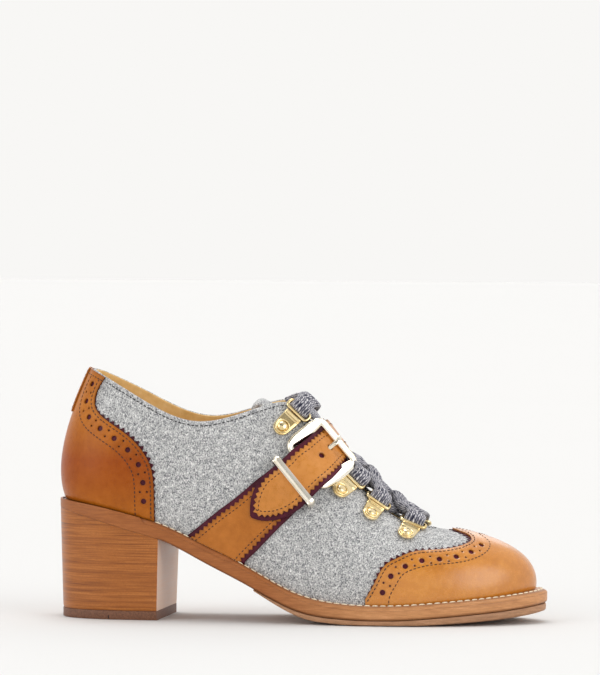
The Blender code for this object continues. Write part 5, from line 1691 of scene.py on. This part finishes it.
def make_strap_billet():
    """The long strap: from its tip through the buckle, over the crest and down to the medial welt."""
    tip = BILLET_EDGE_ROWS[0][0]
    a = np.concatenate([np.linspace(tip, BILLET_TIP_END, 80),
                        np.linspace(BILLET_TIP_END, STRAP_END, 200)[1:]])
    rear, front = strap_edges(BILLET_EDGE_ROWS, on_billet, BILLET_EASE, a)
    cross = np.linspace(0.0, 1.0, 20)[1:-1, None]
    end = rear[-1] + cross * (front[-1] - rear[-1])
    outline = np.concatenate([rear, end, front[::-1]])
    holes = [hole_loop(on_billet, np.array(place) * STRAP_SHEET, STRAP_HOLE_RADIUS, STRAP_HOLE_SIDES)
             for place in STRAP_HOLES]
    region("billet_underlay", on_billet, outline, [], *BILLET_LAYERS[:2], UNDERLAY_SPACING, "burgundy",
           fall=STRAP_FALL, replaces=("strap_billet",), slot="tan_leather")
    edge = np.concatenate([front[::-1], rear])
    inner = on_strap_only(beside(on_billet, edge, STRAP_MARGIN))
    toothed = pinked(on_billet, inner, np.full(4, -STRAP_TEETH), STRAP_TEETH_PITCH)
    region("billet_leather", on_billet, toothed, holes, *BILLET_LAYERS[2:], TAN_SPACING, "strap_tan",
           slot="tan_leather")
    row = on_strap_only(beside(on_billet, edge, STRAP_ROW_IN))
    stitches("billet_stitches", on_billet, [row], BILLET_LAYERS[3] - STITCH_SINK, "dark_thread",
             length=STRAP_STITCH)


# The keeper's section: distance from its buckle side, height over its plain face
KEEPER_PROFILE = ((0.0, -0.5), (0.0, 0.35), (0.1, 0.5), (0.3, 0.58), (0.45, 0.64), (1.75, 1.16), (1.9, 1.2),
                  (2.05, 1.2), (2.2, 1.13), (3.1, 0.6), (3.25, 0.5), (3.32, 0.3), (3.42, 0.3), (3.5, 0.52),
                  (3.65, 0.58), (3.8, 0.5), (3.9, 0.3), (3.9, -0.5))
KEEPER_CORNER = 1.8
# Height of the loop's hidden run over the gap to the upper
KEEPER_LOW_RUN = 0.5


def make_keeper():
    """The metal loop around both straps: a bar with two slopes and a fine ridge beside it."""
    ends = on_band(KEEPER_PLACE, np.array(KEEPER_SHARES), 0.0)
    length = np.linalg.norm(ends[1] - ends[0])
    across = unit(ends[1] - ends[0])
    along, out_of = band_frame(KEEPER_PLACE, 0.0)[1::2]
    along = unit(along - across * np.dot(along, across))
    outward = np.cross(across, along)
    outward = outward * np.sign(np.dot(outward, out_of))
    bulge = np.dot(on_band(KEEPER_PLACE, 0.5 * sum(KEEPER_SHARES), 0.0) - ends.mean(0), outward)
    top = float(billet_lift(KEEPER_PLACE)) + BILLET_LAYERS[3] + KEEPER_OVER_STRAP
    low = GAP + KEEPER_LOW_RUN
    path = rounded([(0.0, low), (length, low), (length, top), (0.0, top)], KEEPER_CORNER, steps=12)
    run = unit(np.roll(path, -1, 0) - np.roll(path, 1, 0))
    half = 0.5 * KEEPER_PROFILE[-1][0]
    rings = []
    for (place, height), (step_across, step_up) in zip(path, run):
        share = place / length
        middle = ends[0] + place * across + (height + 4.0 * bulge * share * (1.0 - share)) * outward
        away = step_up * across - step_across * outward
        rings.append([middle + (half - side) * along + rise_up * away for side, rise_up in KEEPER_PROFILE])
    loft("keeper_metal", np.array(rings), "pale_gold_and_glare", round_trip=True, replaces=("strap_keeper",),
         slot="gold_metal")


# Width of the buckle's frame by its place from the bar (0) to the nose (1)
BUCKLE_WIDTH_ROWS = ((0.0, 2.4), (0.1, 4.2), (0.25, 5.8), (0.7, 6.2), (0.88, 5.0), (1.0, 3.6))
BUCKLE_WIDTH_EASE = 0.05
BUCKLE_POINTS = 150
# The flat faces of the frame lean towards the toe by this slope
BUCKLE_LEAN = 0.4
# Sides of the metal's sections and how square they are
BUCKLE_SECTION = (24, 3.2)
PRONG_SECTION = (14, 3.0)
# The prong's loop round the bar: its gap to the bar, and its angles from outwards
PRONG_GAP = 0.2
PRONG_TURNS = (-200.0, -160.0, -120.0, -80.0, -40.0, -5.0)
PRONG_STEP = 0.6
PRONG_EASE = 0.2
# Shares of the prong's thickness at its first and last end
PRONG_TAPER = (0.5, 0.45)


def make_buckle():
    """The buckle's flattened frame and its prong."""
    centre, along, across, outward = band_frame(BAR_PLACE, BAR_HEIGHT)
    nose = on_band(NOSE_PLACE, 0.5, NOSE_HEIGHT)
    nose_across = unit(on_band(NOSE_PLACE, 1.0, NOSE_HEIGHT) - on_band(NOSE_PLACE, 0.0, NOSE_HEIGHT))
    bar_middle = centre + BAR_SHIFT * across
    nose_middle = nose + NOSE_SHIFT * nose_across
    corners = [bar_middle - BUCKLE_SIDE * across, nose_middle - BUCKLE_SIDE * nose_across,
               nose_middle + BUCKLE_SIDE * nose_across, bar_middle + BUCKLE_SIDE * across]
    loop = rounded(corners, BUCKLE_CORNER, steps=14)
    loop = np.concatenate([loop, loop[:1]])
    length = run_lengths(loop)
    path = at_lengths(np.linspace(0.0, length[-1], BUCKLE_POINTS, endpoint=False), length, loop)
    run = nose_middle - bar_middle
    share = np.clip((path - bar_middle) @ run / np.dot(run, run), 0.0, 1.0)
    widths = soft_table(BUCKLE_WIDTH_ROWS, BUCKLE_WIDTH_EASE)(share)
    plane = unit(np.cross(across, nose - centre))
    if np.dot(plane, outward) < 0.0:
        plane = -plane
    tangent = unit(np.roll(path, -1, 0) - np.roll(path, 1, 0))
    face = unit(plane + BUCKLE_LEAN * across)
    rings = sweep_rings(path, np.cross(tangent, face), squircle(*BUCKLE_SECTION), widths, 2.0 * WIRE_RADIUS,
                        closed=True)
    loft("buckle_metal", rings, "pale_gold_and_glare", round_trip=True, replaces=("buckle_frame",), slot="gold_metal")

    radius = WIRE_RADIUS + PRONG_GAP + 0.5 * PRONG_METAL
    strap_middle = [(place, 0.5 * (rear + front)) for place, rear, front in BILLET_EDGE_ROWS]
    middle = soft_table(strap_middle, PRONG_EASE)
    points = []
    for turn in np.radians(PRONG_TURNS):
        points.append(bar_middle + radius * (outward * math.cos(turn) + along * math.sin(turn)))
    for place, height in PRONG_ROWS:
        points.append(on_band(place, middle(place), height))
    path = through(points, PRONG_STEP)[0]
    first, last = PRONG_TAPER
    taper = np.concatenate([np.linspace(first, 1.0, 3), np.ones(len(path) - 6), np.linspace(1.0, last, 3)])
    rings = sweep_rings(path, across, squircle(*PRONG_SECTION), PRONG_WIDTH * taper, PRONG_METAL * taper)
    loft("prong_metal", rings, "pale_gold_and_glare", replaces=("buckle_prong",), slot="gold_metal")


PLATE_LIFT = 0.35
PLATE_THICKNESS = 1.0
PLATE_WIDTH = 8.6
PLATE_TOP_WIDTH = 9.8
RING_WIRE_RADIUS = 0.85
RING_BAR_STEP = 0.6
RING_CORNER = 1.7
# Ridges across the plate, where it is folded over the ring: distance before the bar, height, half width
PLATE_RIDGES = ((2.9, 0.3, 0.35), (2.2, -0.2, 0.25), (1.2, 0.7, 0.6))
# The plate's section: share of the half width, share of the height
PLATE_SECTION = ((-1.0, 0.4), (-0.98, 0.72), (-0.92, 0.93), (-0.82, 1.0), (-0.55, 1.0), (-0.2, 1.0),
                 (0.2, 1.0), (0.55, 1.0), (0.82, 1.0), (0.92, 0.93), (0.98, 0.72), (1.0, 0.4), (0.96, 0.0),
                 (0.4, 0.0), (-0.4, 0.0), (-0.96, 0.0))
# The plate stops short of the bar. Its ends are thinner: width of this rim, share of the height left
PLATE_SHORT = 0.35
PLATE_RIM = 0.6
PLATE_RIM_HEIGHT = 0.55
# Rows of points: those of the round end start at an angle, so that none of them is a single point
PLATE_END_START = 0.15
PLATE_END_ROWS = 14
PLATE_ROWS = 40
PLATE_SHARP = 55.0
# The plate's round end lies further from the throat than the hook's lower end, the rivet a little less so
RIVET_DROP = 1.2
RIVET_RAISE = 0.2
RIVET_SIDES = 28
RIVET_SHARP = 70.0
# The rivet's head from its rim inwards: radius and height over the plate
RIVET_PROFILE = ((3.75, -0.1), (3.85, 0.4), (3.65, 0.75), (3.3, 0.78), (3.05, 0.5), (2.95, 0.1),
                 (2.65, 0.08), (2.5, 0.5), (2.15, 1.05), (1.4, 1.42), (0.35, 1.52))


def hook_frame(row, side):
    """A hook's seat on the upper with unit vectors across, towards the throat and outwards."""
    rivet_u, rivet_t, bar_u, bar_t = row
    u = 0.5 * (rivet_u + bar_u)
    t = 0.5 * (rivet_t + bar_t)
    seat = upper_point(side * u, t)
    outward = upper_normal(side * u, t)
    up = upper_point(side * bar_u, bar_t) - upper_point(side * rivet_u, rivet_t)
    up = unit(up - outward * np.dot(up, outward))
    return seat, np.cross(up, outward), up, outward


def in_frame(seat_frame, points):
    """Points given as (across, up, out) in a frame."""
    seat, across, up, outward = seat_frame
    points = np.asarray(points, float)
    return seat + points[..., :1] * across + points[..., 1:2] * up + points[..., 2:] * outward


def make_hook(name, seat_frame):
    """One lace hook: a round-ended plate folded over the bar of a ring, and a domed rivet."""
    bar = 0.5 * RIVET_TO_BAR
    rivet = -bar - RIVET_DROP
    foot = 0.5 * PLATE_WIDTH
    end = bar - PLATE_SHORT
    round_end = rivet - foot * np.cos(np.linspace(PLATE_END_START, 0.5 * math.pi, PLATE_END_ROWS))
    up = np.concatenate([round_end, np.linspace(rivet, end, PLATE_ROWS)[1:]])
    half = np.where(up < rivet, np.sqrt(np.maximum(foot ** 2 - (up - rivet) ** 2, 0.0)),
                    foot + (0.5 * PLATE_TOP_WIDTH - foot) * (up - rivet) / (end - rivet))
    near_end = np.clip(np.minimum(up - (rivet - foot), end - up) / PLATE_RIM, 0.0, 1.0)
    swell = np.sqrt(1.0 - (1.0 - near_end) ** 2)
    height = PLATE_THICKNESS * (PLATE_RIM_HEIGHT + (1.0 - PLATE_RIM_HEIGHT) * swell)
    for before, rise_up, reach in PLATE_RIDGES:
        height += rise_up * np.exp(-((up - bar + before) / reach) ** 2)
    section = np.array(PLATE_SECTION)
    rows = np.stack([half[:, None] * section[:, 0], np.repeat(up[:, None], len(section), 1),
                     PLATE_LIFT + height[:, None] * section[:, 1]], -1)
    loft(name + "_plate", in_frame(seat_frame, rows), "gold", replaces=(name,), slot="gold_metal",
         sharp=PLATE_SHARP)
    top = PLATE_LIFT + PLATE_THICKNESS
    head = np.linspace(0.0, 2.0 * math.pi, RIVET_SIDES, endpoint=False)
    rings = [np.stack([radius * np.cos(head), rivet + RIVET_RAISE + radius * np.sin(head),
                       np.full_like(head, top + rise_up)], -1) for radius, rise_up in RIVET_PROFILE]
    loft(name + "_rivet", in_frame(seat_frame, rings), "gold", slot="gold_metal", sharp=RIVET_SHARP)
    half = 0.5 * RING_WIDTH
    low = bar + RING_BAR_STEP
    high = bar + RING_DEPTH
    corners = [(across, along, RING_HEIGHT)
               for across, along in ((-half, low), (half, low), (half, high), (-half, high))]
    path = in_frame(seat_frame, rounded(corners, RING_CORNER, steps=8))
    tangent = np.roll(path, -1, 0) - np.roll(path, 1, 0)
    rings = sweep_rings(path, np.cross(tangent, seat_frame[3]), squircle(12), 2.0 * RING_WIRE_RADIUS,
                        2.0 * RING_WIRE_RADIUS, closed=True)
    loft(name + "_ring", rings, "gold", round_trip=True, slot="gold_metal")


# Where a crossing is led over the throat, as shares from its lateral edge, and the heights added there:
# first for a crossing that starts on the lateral side, then for one from the medial side
CROSSING_SHARES = (0.3, 0.5, 0.7)
LACE_RISE_TIGHT = ((0.0, 0.4, 1.5), (1.5, 0.4, 0.0))
LACE_RISE_LOOSE = ((4.0, 6.0, 1.0), (0.6, 2.2, 3.2))
# The lace's underside over the tongue without those heights, and the thickness that a loose crossing is
# placed with
LACE_OVER_TONGUE = 1.4
LACE_LOOSE_SEAT = 4.2
# The middle of the hidden front bar: stations past the last hook's bar, height over the throat
FRONT_BAR_AHEAD = 0.12
FRONT_BAR_HEIGHT = -1.6
LACE_STEP = 0.42
LACE_SQUARENESS = 2.3
LACE_SHARP = 80.0
LACE_WIDTH = 11.2
LACE_WRAP_WIDTH = 10.0
LACE_LOOSE_THICKNESS = 4.8
LACE_WRAP_THICKNESS = 2.6
LACE_TIGHT_THICKNESS = 2.6
# A pass round a ring's far side, from below to above: angle about the wire, distance from it
LACE_WRAP = ((-100.0, 2.2), (-140.0, 2.0), (180.0, 1.95), (130.0, 2.1), (85.0, 2.4))
# At the second hooks, which the strap passes, the lace is pressed closer to the rings and lies nearer
# the toe
TUCKED_HOOK = 1
TUCK_CLOSER = 0.82
TUCK_THINNER = 0.72
TUCK_TOEWARD = 1.4
TOP_BAR_MIDDLE = (115.2, 0.0, 105.6)
# The braid: strands around the lace, length of one strand, its slant, its height, and the yarns' tones
STRANDS_AROUND = 30
STRAND_LENGTH = 1.9
STRAND_SLANT = 0.7
STRAND_RELIEF = 0.34
STRAND_TONES = (0.7, 1.0, 0.3, 0.9, 0.2, 1.0, 0.5, 0.8, 0.35, 1.0, 0.25, 0.9)
LACE_SIDES = 120
# Powers of a strand's swell across and along it, the share of the swell that is level with the plain lace,
# and the painted shade between strands: the share of the yarn's tone left there
STRAND_SWELL_ACROSS = 0.6
STRAND_SWELL_ALONG = 0.5
STRAND_MIDDLE = 0.6
STRAND_GAP_SHADE = 0.15


def throat_direction(u):
    """The way down the throat, towards the toe, at a station."""
    return unit(crest_point(u + 0.1, 0.5, 0.0) - crest_point(u - 0.1, 0.5, 0.0))


def lace_half(name, frames, first_side, **details):
    """Half of the lace, from the middle of its hidden front bar through four rings to its top bar."""
    bar_u = column(HOOK_ROWS, HOOK_COLUMNS, "bar_station")
    arc = 0.5 * RIVET_TO_BAR + RING_DEPTH
    # Each stop on the way: point, direction across the lace, width, thickness
    stops = [(crest_point(bar_u[3] + FRONT_BAR_AHEAD, 0.5, FRONT_BAR_HEIGHT), throat_direction(bar_u[3]),
              LACE_WRAP_WIDTH, LACE_WRAP_THICKNESS)]
    side = first_side
    for number in (3, 2, 1, 0):
        lateral = side > 0.0
        tucked = number == TUCKED_HOOK
        seat_frame = frames["lateral" if lateral else "medial", number + 1]
        toeward = seat_frame[1] * np.sign(np.dot(seat_frame[1], throat_direction(bar_u[number])))
        closer = TUCK_CLOSER if tucked else 1.0
        shift = (TUCK_TOEWARD if tucked else 0.0) * toeward
        thickness = LACE_WRAP_THICKNESS * (TUCK_THINNER if tucked else 1.0)
        for angle, distance in LACE_WRAP:
            turn = math.radians(angle)
            away = closer * distance
            place = np.array([0.0, arc + away * math.cos(turn), RING_HEIGHT + away * math.sin(turn)])
            stops.append((in_frame(seat_frame, place) + shift, toeward, LACE_WRAP_WIDTH, thickness))
        if number == 0:
            break
        thickness = LACE_TIGHT_THICKNESS if tucked else LACE_LOOSE_THICKNESS
        seat = 0.5 * (LACE_TIGHT_THICKNESS if tucked else LACE_LOOSE_SEAT)
        depth = WALL + TONGUE_CLEARANCE - LACE_OVER_TONGUE - seat
        rises = (LACE_RISE_TIGHT if tucked else LACE_RISE_LOOSE)[0 if lateral else 1]
        low_u = bar_u[number]
        high_u = bar_u[number - 1]
        crossing = []
        for v, rise_up in zip(CROSSING_SHARES, rises):
            station = low_u + (high_u - low_u) * (v if lateral else 1.0 - v)
            crossing.append(crest_point(station, v, rise_up - depth))
        if not lateral:
            crossing.reverse()
        ahead = unit(crossing[-1] - crossing[0])
        toeward = throat_direction(0.5 * (low_u + high_u))
        toeward = unit(toeward - ahead * np.dot(toeward, ahead))
        stops += [(point, toeward, LACE_WIDTH, thickness) for point in crossing]
        side = -side
    stops.append((np.array(TOP_BAR_MIDDLE), throat_direction(bar_u[0]), LACE_WRAP_WIDTH,
                  LACE_WRAP_THICKNESS))
    points, sides, widths, heights = [np.array(values) for values in zip(*stops)]
    path, at, length = through(points, LACE_STEP)
    across = at_lengths(at, length, sides)
    plain = sweep_rings(path, across, squircle(LACE_SIDES, LACE_SQUARENESS), np.interp(at, length, widths),
                        np.interp(at, length, heights))
    strand = np.arange(LACE_SIDES) * STRANDS_AROUND / LACE_SIDES
    lane = np.floor(strand).astype(int)
    over = strand - lane
    slant = np.where(lane % 2 == 0, STRAND_SLANT, -STRAND_SLANT) * (over - 0.5)
    run = at[:, None] / STRAND_LENGTH + slant[None] + 0.5 * (lane % 2)[None]
    bulge = (np.sin(math.pi * over)[None] ** STRAND_SWELL_ACROSS
             * np.abs(np.sin(math.pi * run)) ** STRAND_SWELL_ALONG)
    rings = plain + (STRAND_RELIEF * (bulge - STRAND_MIDDLE))[..., None] * unit(plain - path[:, None])
    place = np.floor(run).astype(int)
    pick = 3 * place * place + 5 * place * lane[None] + 7 * lane[None]
    # Painted shade: the yarn's tone is darker between the strands and lightest on their swells
    tone = STRAND_GAP_SHADE + (1.0 - STRAND_GAP_SHADE) * bulge
    yarn_and_gap_shade = np.array(STRAND_TONES)[pick % len(STRAND_TONES)] * tone
    return loft(name, rings, "lace", values={"yarn_and_gap_shade": np.clip(yarn_and_gap_shade, 0.0, 1.0).ravel()}, sharp=LACE_SHARP,
                **details)


def make_lacing():
    """Eight hooks and the lace that runs through them."""
    frames = {}
    for side_name, side in (("lateral", 1.0), ("medial", -1.0)):
        for number, row in enumerate(HOOK_ROWS, 1):
            frames[side_name, number] = hook_frame(row, side)
            make_hook(f"lace_hook_{side_name}_{number}", frames[side_name, number])
    lace_half("lace_first_half", frames, 1.0, replaces=("lace_cross_1", "lace_cross_2", "lace_cross_3"),
              slot="lace_yarn")
    lace_half("lace_second_half", frames, -1.0, slot="lace_yarn")


CAMERA_PLACE = (368.4, -2185.47, 181.0)
CAMERA_RIGHT = (0.99353, 0.11333, 0.00698)
CAMERA_UP = (-0.00907, 0.01795, 0.9998)
CAMERA_AHEAD = (-0.11318, 0.9934, -0.01886)
CAMERA_LENS = 236.37
CAMERA_SENSOR = 36.0
CAMERA_SIGHT = 30.0
# The floor's rings in metres, and the two close tones of its paper
FLOOR_RADII = (0.5, 2.0, 8.0, 40.0)
FLOOR_SIDES = 64
FLOOR_STOPS = ((0.3, (0.739, 0.732, 0.719)), (0.7, (0.741, 0.734, 0.721)))
BACKDROP = (0.939, 0.93, 0.913, 1.0)
SURROUND_STRENGTH = 0.92
# The surround is white behind the shoe and dim behind the camera: the way to its dim middle, and its
# brightness from the back of the room (0) to there (1)
DIM_MIDDLE = (0.05, -0.96, 0.28)
DIM_STOPS = ((0.55, 1.0), (0.72, 0.7), (0.84, 0.6), (0.93, 0.08))
# Soft far lights: name, where each shines from, its strength and how wide it is in degrees
LIGHT_ROWS = (
    ("overhead", (-0.05, 0.2, 1.0), 0.9, 30.0),
    ("front", (0.1, -1.0, 0.32), 0.45, 50.0),
    ("right", (0.85, -0.55, 0.38), 1.0, 45.0),
    ("left", (-0.7, -0.6, 0.4), 0.8, 45.0),
    ("back", (-0.1, 0.85, 0.55), 0.35, 40.0),
)


def make_camera():
    """The photograph's long lens, low and level with the shoe."""
    camera = bpy.data.cameras.new("photo_camera")
    camera.lens = CAMERA_LENS
    camera.sensor_width = CAMERA_SENSOR
    camera.clip_end = CAMERA_SIGHT
    made = bpy.data.objects.new("photo_camera", camera)
    turn = Matrix((CAMERA_RIGHT, CAMERA_UP, tuple(-part for part in CAMERA_AHEAD))).transposed()
    made.matrix_world = Matrix.Translation(Vector((np.array(CAMERA_PLACE) + SHIFT) * MM)) @ turn.to_4x4()
    bpy.context.scene.collection.objects.link(made)
    bpy.context.scene.camera = made


def make_floor():
    """A wide pale floor, round, with no edge in sight."""
    turns = np.linspace(0.0, 2.0 * math.pi, FLOOR_SIDES, endpoint=False)
    rings = [np.stack([radius * np.cos(turns), radius * np.sin(turns), 0.0 * turns], -1)
             for radius in FLOOR_RADII]
    faces = grid_faces(len(rings), len(turns), False) + [list(range(len(turns)))]
    mesh = bpy.data.meshes.new("studio_floor")
    mesh.from_pydata(np.concatenate(rings).tolist(), [], faces)
    finish = Finish("studio_paper", 0.9, specular_ior_level=0.0)
    finish.colour(finish.ramp(finish.noise(finish.place(), 400.0, 2.0), *FLOOR_STOPS))
    mesh.materials.append(finish.material)
    floor = bpy.data.objects.new("studio_floor", mesh)
    bpy.context.scene.collection.objects.link(floor)


def make_surround():
    """A bright room that is dim behind the camera; seen directly it is as pale as the floor."""
    world = bpy.data.worlds.new("studio_world")
    world.use_nodes = True
    nodes = world.node_tree.nodes
    links = world.node_tree.links
    place = nodes.new("ShaderNodeTexCoord")
    towards = nodes.new("ShaderNodeVectorMath")
    towards.operation = "DOT_PRODUCT"
    towards.inputs[1].default_value = Vector(DIM_MIDDLE).normalized()
    share = nodes.new("ShaderNodeMapRange")
    share.inputs["From Min"].default_value = -1.0
    dim = nodes.new("ShaderNodeValToRGB")
    while len(dim.color_ramp.elements) < len(DIM_STOPS):
        dim.color_ramp.elements.new(0.5)
    for element, (position, grey) in zip(dim.color_ramp.elements, DIM_STOPS):
        element.position = position
        element.color = (grey, grey, grey, 1.0)
    room = nodes["Background"]
    room.inputs["Strength"].default_value = SURROUND_STRENGTH
    seen = nodes.new("ShaderNodeBackground")
    seen.inputs["Color"].default_value = BACKDROP
    path = nodes.new("ShaderNodeLightPath")
    mixed = nodes.new("ShaderNodeMixShader")
    links.new(place.outputs["Generated"], towards.inputs[0])
    links.new(towards.outputs["Value"], share.inputs["Value"])
    links.new(share.outputs["Result"], dim.inputs["Fac"])
    links.new(dim.outputs["Color"], room.inputs["Color"])
    links.new(path.outputs["Is Camera Ray"], mixed.inputs["Fac"])
    links.new(room.outputs["Background"], mixed.inputs[1])
    links.new(seen.outputs["Background"], mixed.inputs[2])
    links.new(mixed.outputs["Shader"], nodes["World Output"].inputs["Surface"])
    bpy.context.scene.world = world


def make_lights():
    """Broad soft lights from far away, so that the floor is evenly lit."""
    for name, towards, strength, width in LIGHT_ROWS:
        light = bpy.data.lights.new(name, "SUN")
        light.energy = strength
        light.angle = math.radians(width)
        made = bpy.data.objects.new(name, light)
        made.rotation_euler = Vector(towards).to_track_quat("Z", "Y").to_euler()
        bpy.context.scene.collection.objects.link(made)
    bpy.context.scene.view_settings.view_transform = "Standard"


make_soles()
make_welt()
make_heel()
make_upper()
make_tongue()
make_toe_cap()
make_counter()
make_strap_base()
make_strap_billet()
make_keeper()
make_buckle()
make_lacing()
make_camera()
make_floor()
make_surround()
make_lights()
